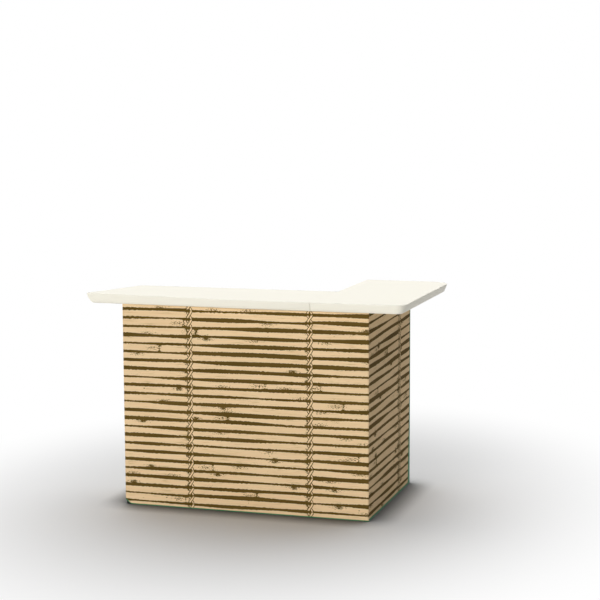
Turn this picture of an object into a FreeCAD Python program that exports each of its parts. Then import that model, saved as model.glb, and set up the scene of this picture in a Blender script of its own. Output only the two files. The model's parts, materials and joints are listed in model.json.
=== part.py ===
import FreeCAD, Part
import math
import os
import Sketcher

# Portable L-shaped patio bar: a printed cloth skirt round a folding steel frame,
# and a plastic counter in two boards. Its origin is the middle of the footprint, on the floor.
# X runs along the front, Y runs towards the bartender's side and Z is up.

DRIVING_SIZES = [
    # name, value, what it is
    ("total_width", 1656, "counter, end to end"),
    ("total_depth", 1026, "counter, front edge to the end of the return"),
    ("total_height", 1067, "floor to counter top, 42 inches"),
    ("skirt_width", 1270, "skirt, left to right, 50 inches"),
    ("skirt_depth", 840, "skirt, along the right side, 33 inches"),
    ("front_overhang", 87, "counter past the skirt at the front"),
    ("front_arm", 463, "counter along the front, front to back"),
    ("return_arm", 454, "counter along the right side, left to right"),
    ("counter_thick", 45, "height of the counter's edge"),
    ("edge_slope", 25, "degrees that the edge leans in going down"),
    ("end_slant", 141, "how far the left end's back corner is right of its tip"),
    ("end_setback", 85, "how far back the tip is from the front edge"),
    ("sweep_start", 66, "where the front edge begins to bend back to the tip"),
    ("sweep_radius", 2000, "radius of that bend"),
    ("front_corner", 50, "plan radius of the front right corner"),
    ("back_corner", 100, "plan radius of the back right corner"),
    ("board_rim", 25, "solid rim round the hollow of each board"),
    ("board_skin", 4, "wall of the hollow boards"),
    ("seam_place", 350, "post that carries both boards' seam, right of the middle"),
    ("seam_offset", 16, "how far right of that post the two boards meet"),
    ("seam_gap", 1, "gap between the two boards"),
    ("side_margin", 20, "how far the boxes that part the two boards stand out past them"),
    ("socket_radius", 8.5, "sockets under the boards"),
    ("socket_depth", 18, "depth of the sockets"),
    ("boss_wall", 4, "wall round each socket"),
    ("peg_radius", 8, "pegs that the boards sit on"),
    ("peg_height", 14, "height of the pegs"),
    ("post_inset", 19.5, "post centre behind the skirt's outer face"),
    ("guide_place", 412, "post that guides the return's inner scissors"),
    ("tube_side", 25, "square tube"),
    ("tube_wall", 1.5, "wall of the square tube"),
    ("tube_corner", 2.5, "outer corner radius of the square tube"),
    ("low_tube", 80, "underside of the low cross tubes"),
    ("shelf_tube", 395, "underside of the tubes that carry the shelf"),
    ("top_tube", 930, "underside of the top cross tubes"),
    ("bracket_side", 34, "outer side of the brackets and sliders"),
    ("bracket_height", 64, "height of a post-top bracket"),
    ("bracket_cap", 6, "plastic over the post's top"),
    ("bracket_corner", 4, "corner radius of the plastic parts"),
    ("socket_play", 0.1, "play of a post in its bracket or foot"),
    ("seat_gap", 0.2, "gap under the boards at the ladders that fold"),
    ("flange_reach", 52, "how far a seam bracket's flange runs under a board"),
    ("flange_width", 34, "width of that flange"),
    ("flange_thick", 7, "thickness of that flange"),
    ("peg_reach", 36, "peg centre from the seam bracket's post"),
    ("pivot_drop", 37, "arm pivot below the top of its bracket"),
    ("pivot_reach", 28.5, "arm pivot from the post's centre"),
    ("ear_radius", 9, "round end of an ear"),
    ("ear_thick", 6.75, "thickness of an ear"),
    ("ear_gap", 0.2, "gap between an ear and its arm"),
    ("slider_height", 44, "height of a slider"),
    ("slider_play", 0.3, "play of a slider on its post"),
    ("arm_length", 490, "scissor arm, pivot to pivot"),
    ("arm_side", 20, "scissor arm's flat bar, width"),
    ("arm_thick", 5, "scissor arm's flat bar, thickness"),
    ("arm_gap", 1.5, "gap between two crossing arms"),
    ("hole_radius", 3.05, "holes for the rivets"),
    ("rivet_radius", 3, "rivet shank"),
    ("rivet_head_radius", 6, "rivet head"),
    ("rivet_head", 2.5, "height of a rivet head"),
    ("spacer_radius", 8, "shoulder of a middle rivet, between the arms"),
    ("shelf_thick", 12, "shelf boards"),
    ("shelf_width", 279, "front shelf boards, front to back"),
    ("return_shelf_width", 165, "return shelf board, left to right"),
    ("shelf_reach", 459.75, "shelf board, hinge to far end"),
    ("shelf_lift", 0.2, "gap under a shelf's far end"),
    ("corner_shelf_gap", 2, "end of the corner's shelf from the middle of its tube"),
    ("hinge_offset", 21, "shelf hinge from its tube's centre"),
    ("barrel_radius", 7, "hinge barrel along a shelf's end"),
    ("trunnion_length", 6, "stub pins at the ends of the barrel"),
    ("trunnion_play", 0.06, "play of the stub pins in their tabs"),
    ("tab_thick", 4, "hinge tabs"),
    ("tab_gap", 1.2, "gap between a tab and the barrel's end"),
    ("foot_side", 31, "rubber foot"),
    ("foot_height", 30, "rubber foot"),
    ("foot_base", 5, "rubber under the post"),
    ("skirt_thick", 1, "skirt cloth"),
    ("skirt_bottom", 2, "hem above the floor"),
    ("skirt_top", 1020, "top of the skirt"),
    ("left_return", 356, "skirt on the left end, front to back"),
    ("binding_width", 6, "green binding along the hem"),
    ("side_binding", 8, "green binding up a free edge"),
    ("binding_thick", 1.6, "green binding, folded round the cloth"),
    ("skirt_play", 0.3, "gap where two pieces of skirt meet"),
    ("tape_thick", 1.2, "hook tape on the brackets"),
    ("tape_width", 22, "hook tape on the brackets"),
    ("tape_height", 44, "hook tape on the brackets"),
]

doc = FreeCAD.newDocument("patio_bar")
sheet = doc.addObject("Spreadsheet::Sheet", "Sizes")
for row, (alias, value, meaning) in enumerate(DRIVING_SIZES, start=1):
    sheet.set(f"A{row}", alias)
    sheet.set(f"B{row}", str(value))
    sheet.set(f"C{row}", meaning)
    sheet.setAlias(f"B{row}", alias)
doc.recompute()

sub_parts = {}


def size(alias):
    return float(sheet.get(alias))


def cell(alias):
    return f"Sizes.{alias}"


# Places worked out from the driving sizes

X = FreeCAD.Vector(1, 0, 0)
Y = FreeCAD.Vector(0, 1, 0)
Z = FreeCAD.Vector(0, 0, 1)

skirt_left = -size("skirt_width") / 2
skirt_right = size("skirt_width") / 2
counter_front = -size("total_depth") / 2
skirt_front = counter_front + size("front_overhang")
skirt_back = skirt_front + size("skirt_depth")
board_under = size("total_height") - size("counter_thick")

left_x = skirt_left + size("post_inset")
seam_x = size("seam_place")
right_x = skirt_right - size("post_inset")
guide_x = size("guide_place")
bay = (seam_x - left_x) / 2
middle_x = left_x + bay
front_y = skirt_front + size("post_inset")
end_y = skirt_back - size("post_inset")
rear_y = end_y - bay

bracket_top = board_under
pivot_z = bracket_top - size("pivot_drop")
pivot_span = bay - 2 * size("pivot_reach")
fold_start = math.degrees(math.acos(pivot_span / size("arm_length")))
slider_z = pivot_z - size("arm_length") * math.sin(math.radians(fold_start))
shelf_z = size("shelf_tube") + size("tube_side") + size("shelf_lift")
hinge_z = shelf_z + size("shelf_thick") / 2


# Small shared makers

NEARLY_PARALLEL = 0.999


def register(label, shape_object):
    shape_object.Label = label
    sub_parts[label] = shape_object
    return shape_object


def box(name, lengths, corner):
    piece = doc.addObject("Part::Box", name)
    for side, expression in zip(("Length", "Width", "Height"), lengths):
        piece.setExpression(side, expression)
    piece.Placement.Base = FreeCAD.Vector(*corner)
    piece.recompute()
    return piece


def rounded_box(name, lengths, corner, radius, along=Z):
    inner = box(name + "_blank", lengths, corner)
    rounded = doc.addObject("Part::Fillet", name)
    rounded.Base = inner
    rounded.Edges = [
        (number, size(radius), size(radius))
        for number, edge in enumerate(inner.Shape.Edges, start=1)
        if abs(edge.tangentAt(edge.FirstParameter).dot(along)) > NEARLY_PARALLEL
    ]
    rounded.recompute()
    return rounded


def rod(name, radius, length, start, along):
    piece = doc.addObject("Part::Cylinder", name)
    piece.setExpression("Radius", radius)
    piece.setExpression("Height", length)
    piece.Placement = FreeCAD.Placement(FreeCAD.Vector(*start), FreeCAD.Rotation(Z, along))
    return piece


def cut(name, base, tool):
    piece = doc.addObject("Part::Cut", name)
    piece.Base = base
    piece.Tool = tool
    return piece


def fuse(name, pieces):
    piece = doc.addObject("Part::MultiFuse", name)
    piece.Shapes = pieces
    return piece


def group(name, pieces):
    piece = doc.addObject("Part::Compound", name)
    piece.Links = pieces
    return piece


def new_sketch(body, name):
    plane = [feature for feature in body.Origin.OriginFeatures if feature.Role == "XY_Plane"][0]
    sketch = body.newObject("Sketcher::SketchObject", name)
    sketch.AttachmentSupport = (plane, [""])
    sketch.MapMode = "FlatFace"
    return sketch


def pin_down(sketch, name, kind, *where, to):
    number = sketch.addConstraint(Sketcher.Constraint(kind, *where, to[0]))
    sketch.renameConstraint(number, name)
    sketch.setExpression("Constraints." + name, to[1])


# Square tube frames

def square_tube(name, start, length, along):
    side = cell("tube_side")
    half = size("tube_side") / 2
    lengths = [side, side, side]
    inner_lengths = [f"{side} - 2 * {cell('tube_wall')}"] * 3
    axis = [X, Y, Z].index(along)
    lengths[axis] = length
    inner_lengths[axis] = length
    corner = [value - half for value in start]
    corner[axis] = start[axis]
    inner_corner = [value + size("tube_wall") for value in corner]
    inner_corner[axis] = start[axis]
    outer = rounded_box(name + "_outer", lengths, corner, "tube_corner", along)
    inner = box(name + "_bore", inner_lengths, inner_corner)
    return cut(name, outer, inner)


def post(name, x, y):
    length = (
        f"{cell('total_height')} - {cell('counter_thick')} - {cell('bracket_cap')} - {cell('foot_base')}"
    )
    return square_tube(name, (x, y, size("foot_base")), length, Z)


TUBE_LEVELS = {"low": "low_tube", "shelf": "shelf_tube", "top": "top_tube"}


def tube_middle(level):
    return size(TUBE_LEVELS[level]) + size("tube_side") / 2


def cross_tube(name, level, start, along, gap_expression):
    half = size("tube_side") / 2
    place = [start[0], start[1], tube_middle(level)]
    place[[X, Y].index(along)] += half
    return square_tube(f"{name}_{level}_tube", place, gap_expression, along)


def ladder(label, first_post, second_post, along, gap_expression, tabs=None):
    pieces = [
        post(label + "_first_post", *first_post),
        post(label + "_second_post", *second_post),
    ]
    for level in TUBE_LEVELS:
        pieces.append(cross_tube(label, level, first_post, along, gap_expression))
    pieces += tabs or []
    return register(label, fuse(label, pieces))


def hinge_tab(name, tube_point, outward, across, side):
    # One welded tab beside the end of a shelf's barrel, with a hole for its stub pin
    radius = cell("barrel_radius")
    thick = cell("tab_thick")
    half_tube = size("tube_side") / 2
    start = FreeCAD.Vector(*tube_point) + across * side
    reach = size("hinge_offset")
    low = size("barrel_radius")
    plate_corner = start + outward * half_tube
    plate_end = start + outward * reach + across * size("tab_thick")
    corner = FreeCAD.Vector(
        min(plate_corner.x, plate_end.x), min(plate_corner.y, plate_end.y), hinge_z - low
    )
    flat = f"{cell('hinge_offset')} - {cell('tube_side')} / 2"
    lengths = [flat, thick, f"2 * {radius}"] if outward.x else [thick, flat, f"2 * {radius}"]
    plate = box(name + "_plate", lengths, corner)
    centre = start + outward * reach
    centre.z = hinge_z
    nose = rod(name + "_nose", radius, thick, centre, across)
    hole_radius = f"{cell('rivet_radius')} + {cell('trunnion_play')}"
    hole = rod(name + "_hole", hole_radius, thick, centre, across)
    # A foot below the plate, down the face of the tube, takes the weld
    foot_drop = f"{radius} + {cell('shelf_lift')} + {cell('shelf_thick')} / 2"
    foot_height = size("barrel_radius") + size("shelf_lift") + size("shelf_thick") / 2
    foot_lengths = ["2 * " + cell("tab_gap"), thick, foot_drop]
    if not outward.x:
        foot_lengths = [thick, "2 * " + cell("tab_gap"), foot_drop]
    foot_end = plate_corner + outward * 2 * size("tab_gap") + across * size("tab_thick")
    foot_corner = FreeCAD.Vector(
        min(plate_corner.x, foot_end.x), min(plate_corner.y, foot_end.y), hinge_z - foot_height
    )
    foot = box(name + "_weld_foot", foot_lengths, foot_corner)
    return cut(name, fuse(name + "_solid", [plate, nose, foot]), hole)


def hinge_tabs(label, tube_point, outward, across, barrel_alias):
    half = size(barrel_alias) / 2 + size("tab_gap")
    return [
        hinge_tab(label + "_first_tab", tube_point, outward, across, -half - size("tab_thick")),
        hinge_tab(label + "_second_tab", tube_point, outward, across, half),
    ]


def build_frames():
    depth_gap = (
        f"{cell('skirt_depth')} - 2 * {cell('post_inset')}"
        f" - ({cell('seam_place')} + {cell('skirt_width')} / 2 - {cell('post_inset')}) / 2"
        f" - {cell('tube_side')}"
    )
    middle_y = (front_y + rear_y) / 2
    for label, x in (
        ("left_ladder", left_x),
        ("middle_ladder", middle_x),
        ("corner_inner_ladder", seam_x),
        ("corner_outer_ladder", right_x),
    ):
        tabs = None
        if label in ("middle_ladder", "corner_inner_ladder"):
            tabs = hinge_tabs(label, (x, middle_y, 0), -X, Y, "shelf_width")
        ladder(label, (x, front_y), (x, rear_y), Y, depth_gap, tabs)
    return_gap = (
        f"{cell('skirt_width')} / 2 - {cell('post_inset')} - {cell('guide_place')} - {cell('tube_side')}"
    )
    ladder("return_ladder", (guide_x, end_y), (right_x, end_y), X, return_gap)
    # The corner's rear side: the guide post, ties to the seam post and tubes to the outer post
    tie_gap = f"{cell('guide_place')} - {cell('seam_place')} - {cell('tube_side')}"
    pieces = [post("corner_guide_post", guide_x, rear_y)]
    for level in TUBE_LEVELS:
        pieces.append(cross_tube("corner_tie", level, (seam_x, rear_y), X, tie_gap))
        pieces.append(cross_tube("corner_rear", level, (guide_x, rear_y), X, return_gap))
    tab_x = (guide_x + right_x) / 2
    pieces += hinge_tabs("corner_rear", (tab_x, rear_y, 0), Y, X, "return_shelf_width")
    register("corner_rear_frame", fuse("corner_rear_frame", pieces))
    front_gap = (
        f"{cell('skirt_width')} / 2 - {cell('post_inset')} - {cell('seam_place')} - {cell('tube_side')}"
    )
    for level in ("top", "low"):
        label = f"corner_front_{level}_tube"
        tube = cross_tube("corner_front", level, (seam_x, front_y), X, front_gap)
        register(label, tube)


# Plastic brackets, sliders and rubber feet

def ear(name, post_centre, height, towards, falling):
    # Falling arms lie on the near side of the ear, rising arms on the far side
    across = Y if towards.x else X
    near = -size("arm_gap") / 2 + size("ear_gap")
    first = near if falling else -near - size("ear_thick")
    start = FreeCAD.Vector(post_centre[0], post_centre[1], height)
    inner = size("bracket_side") / 2 - size("tube_wall")
    low = start + towards * inner + across * first
    high = start + towards * size("pivot_reach") + across * (first + size("ear_thick"))
    corner = FreeCAD.Vector(min(low.x, high.x), min(low.y, high.y), height - size("ear_radius"))
    reach = f"{cell('pivot_reach')} - {cell('bracket_side')} / 2 + {cell('tube_wall')}"
    tall = f"2 * {cell('ear_radius')}"
    lengths = [reach, cell("ear_thick"), tall]
    if not towards.x:
        lengths = [cell("ear_thick"), reach, tall]
    plate = box(name + "_plate", lengths, corner)
    centre = start + towards * size("pivot_reach") + across * first
    nose = rod(name + "_nose", cell("ear_radius"), cell("ear_thick"), centre, across)
    hole = rod(name + "_hole", cell("hole_radius"), cell("ear_thick"), centre, across)
    return fuse(name, [plate, nose]), hole


def with_ears(name, block, post_centre, height, ears):
    pieces = [block]
    holes = []
    for number, (towards, falling) in enumerate(ears):
        solid, hole = ear(f"{name}_ear_{number}", post_centre, height, towards, falling)
        pieces.append(solid)
        holes.append(hole)
    if not ears:
        return block
    return cut(name, fuse(name + "_solid", pieces), group(name + "_holes", holes))


def block_corner(post_centre, side, low):
    half = size(side) / 2
    return (post_centre[0] - half, post_centre[1] - half, low)


def bracket(name, post_centre, ears, flanges=(), pegs=(), lowered="0"):
    side = cell("bracket_side")
    drop = size("seat_gap") if lowered != "0" else 0
    low = bracket_top - size("bracket_height")
    tall = f"{cell('bracket_height')} - {lowered}"
    pieces = [
        rounded_box(
            name + "_block", [side, side, tall], block_corner(post_centre, "bracket_side", low),
            "bracket_corner",
        )
    ]
    for number, direction in enumerate(flanges):
        reach = size("flange_reach")
        near = post_centre[0] + min(0, direction * reach)
        corner = (
            near,
            post_centre[1] - size("flange_width") / 2,
            bracket_top - size("flange_thick"),
        )
        lengths = [cell("flange_reach"), cell("flange_width"), cell("flange_thick")]
        pieces.append(rounded_box(f"{name}_flange_{number}", lengths, corner, "bracket_corner"))
    for number, shift in enumerate(pegs):
        start = (post_centre[0] + shift, post_centre[1], bracket_top - drop)
        pieces.append(rod(f"{name}_peg_{number}", cell("peg_radius"), cell("peg_height"), start, Z))
    solid = fuse(name + "_outside", pieces) if len(pieces) > 1 else pieces[0]
    bore_side = f"{cell('tube_side')} + 2 * {cell('socket_play')}"
    bore_height = f"{cell('bracket_height')} - {cell('bracket_cap')}"
    half_bore = size("tube_side") / 2 + size("socket_play")
    bore_corner = (post_centre[0] - half_bore, post_centre[1] - half_bore, low)
    bore = box(name + "_bore", [bore_side, bore_side, bore_height], bore_corner)
    hollow = cut(name + "_hollow", solid, bore)
    return with_ears(name, hollow, post_centre, pivot_z, ears)


def slider(name, post_centre, ears):
    side = cell("bracket_side")
    low = slider_z - size("slider_height") / 2
    block = rounded_box(
        name + "_block", [side, side, cell("slider_height")],
        block_corner(post_centre, "bracket_side", low), "bracket_corner",
    )
    bore_side = f"{cell('tube_side')} + 2 * {cell('slider_play')}"
    half_bore = size("tube_side") / 2 + size("slider_play")
    bore_corner = (post_centre[0] - half_bore, post_centre[1] - half_bore, low)
    bore = box(name + "_bore", [bore_side, bore_side, cell("slider_height")], bore_corner)
    return with_ears(name, cut(name + "_hollow", block, bore), post_centre, slider_z, ears)


def foot(name, post_centre):
    side = cell("foot_side")
    block = rounded_box(
        name + "_block", [side, side, cell("foot_height")], block_corner(post_centre, "foot_side", 0),
        "bracket_corner",
    )
    bore_side = f"{cell('tube_side')} + 2 * {cell('socket_play')}"
    bore_height = f"{cell('foot_height')} - {cell('foot_base')}"
    half_bore = size("tube_side") / 2 + size("socket_play")
    bore_corner = (post_centre[0] - half_bore, post_centre[1] - half_bore, size("foot_base"))
    bore = box(name + "_bore", [bore_side, bore_side, bore_height], bore_corner)
    return cut(name, block, bore)


def build_brackets():
    lowered = cell("seat_gap")
    falling = True
    rising = False
    register(
        "seam_bracket_front",
        bracket(
            "seam_bracket_front", (seam_x, front_y), [(-X, falling)], flanges=(-1, 1),
            pegs=(-size("peg_reach"), size("peg_reach")),
        ),
    )
    register(
        "seam_bracket_rear",
        bracket(
            "seam_bracket_rear", (seam_x, rear_y), [(-X, falling)], flanges=(-1,),
            pegs=(-size("peg_reach"),),
        ),
    )
    register("guide_bracket", bracket("guide_bracket", (guide_x, rear_y), [(Y, falling)], pegs=(0,)))
    register(
        "outer_bracket_front",
        bracket("outer_bracket_front", (right_x, front_y), [], pegs=(0,)),
    )
    register(
        "outer_bracket_rear",
        bracket("outer_bracket_rear", (right_x, rear_y), [(Y, falling)], pegs=(0,)),
    )
    for ladder_name, places, ears in (
        ("middle", [(middle_x, front_y), (middle_x, rear_y)], [(X, rising), (-X, falling)]),
        ("left", [(left_x, front_y), (left_x, rear_y)], [(X, rising)]),
        ("return", [(guide_x, end_y), (right_x, end_y)], [(-Y, rising)]),
    ):
        label = ladder_name + "_brackets"
        pair = [
            bracket(f"{label}_{number}", place, ears, lowered=lowered)
            for number, place in enumerate(places)
        ]
        register(label, group(label, pair))


def build_sliders():
    falling = True
    rising = False
    for label, places, ears in (
        ("corner_front_sliders", [(seam_x, front_y), (seam_x, rear_y)], [(-X, rising)]),
        ("middle_sliders", [(middle_x, front_y), (middle_x, rear_y)], [(X, falling), (-X, rising)]),
        ("left_sliders", [(left_x, front_y), (left_x, rear_y)], [(X, falling)]),
        ("corner_return_sliders", [(guide_x, rear_y), (right_x, rear_y)], [(Y, rising)]),
        ("return_sliders", [(guide_x, end_y), (right_x, end_y)], [(-Y, falling)]),
    ):
        pair = [slider(f"{label}_{number}", place, ears) for number, place in enumerate(places)]
        register(label, group(label, pair))


def build_feet():
    for label, places in (
        (
            "corner_feet",
            [
                (seam_x, front_y),
                (seam_x, rear_y),
                (guide_x, rear_y),
                (right_x, front_y),
                (right_x, rear_y),
            ],
        ),
        ("middle_feet", [(middle_x, front_y), (middle_x, rear_y)]),
        ("left_feet", [(left_x, front_y), (left_x, rear_y)]),
        ("return_feet", [(guide_x, end_y), (right_x, end_y)]),
    ):
        feet = [foot(f"{label}_{number}", place) for number, place in enumerate(places)]
        register(label, group(label, feet))


# Scissor arms and their rivets

# A rivet through an ear has one gap between arm and ear, and half a gap under its head
EAR_GAPS = 1.5


def arm(label, start, towards, falling):
    # A flat bar with round ends and three holes, drawn along its own X and laid in the scissor's plane
    body = doc.addObject("PartDesign::Body", label)
    sketch = new_sketch(body, label + "_outline")
    half = size("arm_side") / 2
    long = size("arm_length")
    centre_near = FreeCAD.Vector(0, 0, 0)
    centre_far = FreeCAD.Vector(long, 0, 0)
    right_angle = math.pi / 2
    near_circle = Part.Circle(centre_near, Z, half)
    far_circle = Part.Circle(centre_far, Z, half)
    sketch.addGeometry(Part.ArcOfCircle(near_circle, right_angle, 3 * right_angle))
    sketch.addGeometry(Part.LineSegment(FreeCAD.Vector(0, -half, 0), FreeCAD.Vector(long, -half, 0)))
    sketch.addGeometry(Part.ArcOfCircle(far_circle, -right_angle, right_angle))
    sketch.addGeometry(Part.LineSegment(FreeCAD.Vector(long, half, 0), FreeCAD.Vector(0, half, 0)))
    for first, second in ((0, 1), (1, 2), (2, 3), (3, 0)):
        sketch.addConstraint(Sketcher.Constraint("Tangent", first, 2, second, 1))
    sketch.addConstraint(Sketcher.Constraint("Coincident", 0, 3, -1, 1))
    sketch.addConstraint(Sketcher.Constraint("PointOnObject", 2, 3, -1))
    pin_down(sketch, "half_width", "Radius", 0, to=(half, cell("arm_side") + " / 2"))
    pin_down(sketch, "reach", "DistanceX", -1, 1, 2, 3, to=(long, cell("arm_length")))
    for number, x in enumerate((0, long / 2, long)):
        hole = sketch.addGeometry(
            Part.Circle(FreeCAD.Vector(x, 0, 0), Z, size("hole_radius"))
        )
        pin_down(sketch, f"hole_{number}", "Radius", hole, to=(size("hole_radius"), cell("hole_radius")))
        if number == 1:
            sketch.addConstraint(Sketcher.Constraint("PointOnObject", hole, 3, -1))
            half_reach = cell("arm_length") + " / 2"
            pin_down(sketch, "middle", "DistanceX", -1, 1, hole, 3, to=(long / 2, half_reach))
        else:
            sketch.addConstraint(Sketcher.Constraint("Coincident", hole, 3, number, 3))
    bar = body.newObject("PartDesign::Pad", label + "_bar")
    bar.Profile = sketch
    bar.setExpression("Length", cell("arm_thick"))
    across = Y if towards.x else X
    angle = math.radians(fold_start)
    rise = -math.sin(angle) if falling else math.sin(angle)
    direction = towards * math.cos(angle) + Z * rise
    layer = -size("arm_gap") / 2 - size("arm_thick") if falling else size("arm_gap") / 2
    base = FreeCAD.Vector(*start) + across * layer
    turn = FreeCAD.Rotation(direction, across.cross(direction), across, "ZXY")
    body.Placement = FreeCAD.Placement(base, turn)
    return register(label, body)


def rivet(name, centre, across, low, high, grip):
    # Shank from one outer face to the other, with a round head on each
    start = FreeCAD.Vector(*centre)
    head = size("rivet_head")
    shank = rod(name + "_shank", cell("rivet_radius"), grip, start + across * low, across)
    heads = [
        rod(
            f"{name}_{end}", cell("rivet_head_radius"), cell("rivet_head"), start + across * place,
            across,
        )
        for end, place in (("near_head", low - head), ("far_head", high))
    ]
    return fuse(name, [shank] + heads)


def middle_rivet(name, centre, across):
    # Its shoulder keeps the two arms apart
    outer = size("arm_gap") / 2 + size("arm_thick")
    play = size("ear_gap") / 2
    grip = f"{cell('arm_gap')} + 2 * {cell('arm_thick')} + {cell('ear_gap')} / 2"
    plain = rivet(name + "_plain", centre, across, -outer, outer + play, grip)
    start = FreeCAD.Vector(*centre) + across * (-size("arm_gap") / 2)
    length = f"{cell('arm_gap')} - {cell('ear_gap')} / 2"
    shoulder = rod(name + "_shoulder", cell("spacer_radius"), length, start, across)
    return fuse(name, [plain, shoulder])


def bay_scissors(label, inner_posts, towards):
    # One bay: in each of two planes a falling and a rising arm cross at their middles
    across = Y if towards.x else X
    outer_face = size("arm_gap") / 2 + size("arm_thick")
    ear_face = size("ear_thick") - size("arm_gap") / 2 + EAR_GAPS * size("ear_gap")
    grip = f"{cell('arm_thick')} + {cell('ear_thick')} + {EAR_GAPS} * {cell('ear_gap')}"
    falling_rivets = []
    rising_rivets = []
    middle_z = (pivot_z + slider_z) / 2
    for plane, place in zip(("first", "second"), inner_posts):
        start = FreeCAD.Vector(place[0], place[1], 0) + towards * size("pivot_reach")
        far = start + towards * pivot_span
        half_way = start + towards * (pivot_span / 2)
        name = f"{label}_{plane}"
        arm(f"{name}_falling_arm", (start.x, start.y, pivot_z), towards, True)
        arm(f"{name}_rising_arm", (start.x, start.y, slider_z), towards, False)
        for end, point, height in (("top", start, pivot_z), ("low", far, slider_z)):
            centre = (point.x, point.y, height)
            falling_rivets.append(
                rivet(f"{name}_falling_{end}_rivet", centre, across, -outer_face, ear_face, grip)
            )
        centre = (half_way.x, half_way.y, middle_z)
        falling_rivets.append(middle_rivet(f"{name}_middle_rivet", centre, across))
        for end, point, height in (("top", far, pivot_z), ("low", start, slider_z)):
            centre = (point.x, point.y, height)
            rising_rivets.append(
                rivet(f"{name}_rising_{end}_rivet", centre, across, -ear_face, outer_face, grip)
            )
    register(f"{label}_falling_rivets", group(f"{label}_falling_rivets", falling_rivets))
    register(f"{label}_rising_rivets", group(f"{label}_rising_rivets", rising_rivets))


def build_scissors():
    bay_scissors("right_bay", [(seam_x, front_y), (seam_x, rear_y)], -X)
    bay_scissors("left_bay", [(middle_x, front_y), (middle_x, rear_y)], -X)
    bay_scissors("return_bay", [(guide_x, rear_y), (right_x, rear_y)], Y)


# Shelf boards

def hinged_shelf(label, tube_point, outward, across, width_alias):
    # A flat board that ends in a barrel with a stub pin at each end
    half_width = size(width_alias) / 2
    barrel_centre = FreeCAD.Vector(*tube_point) + outward * size("hinge_offset")
    far = barrel_centre + outward * size("shelf_reach")
    low = barrel_centre - across * half_width
    high = far + across * half_width
    corner = FreeCAD.Vector(min(low.x, high.x), min(low.y, high.y), shelf_z)
    lengths = [cell("shelf_reach"), cell(width_alias), cell("shelf_thick")]
    if not outward.x:
        lengths = [cell(width_alias), cell("shelf_reach"), cell("shelf_thick")]
    board = box(label + "_board", lengths, corner)
    start = FreeCAD.Vector(low.x, low.y, hinge_z)
    barrel = rod(label + "_barrel", cell("barrel_radius"), cell(width_alias), start, across)
    pin_length = f"{cell(width_alias)} + 2 * {cell('trunnion_length')}"
    pin_start = start - across * size("trunnion_length")
    pins = rod(label + "_stub_pins", cell("rivet_radius"), pin_length, pin_start, across)
    return register(label, fuse(label, [board, barrel, pins]))


def build_shelves():
    middle_y = (front_y + rear_y) / 2
    hinged_shelf("shelf_middle", (seam_x, middle_y, 0), -X, Y, "shelf_width")
    hinged_shelf("shelf_left", (middle_x, middle_y, 0), -X, Y, "shelf_width")
    return_middle = (guide_x + right_x) / 2
    hinged_shelf("shelf_return", (return_middle, rear_y, 0), Y, X, "return_shelf_width")
    # The corner board doesn't move: it lies on both ladders of the corner
    clear = size("corner_shelf_gap")
    length = f"{cell('skirt_width')} / 2 - {cell('post_inset')} - {cell('seam_place')}"
    corner = (seam_x + clear, middle_y - size("shelf_width") / 2, shelf_z - size("shelf_lift"))
    board = box("shelf_corner", [length, cell("shelf_width"), cell("shelf_thick")], corner)
    register("shelf_corner", board)


# Counter boards

# How far the left end's two corners move in for each millimetre of rim, because the end is slanted
TIP_SHARE = 1.5
END_SHARE = 0.7


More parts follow.
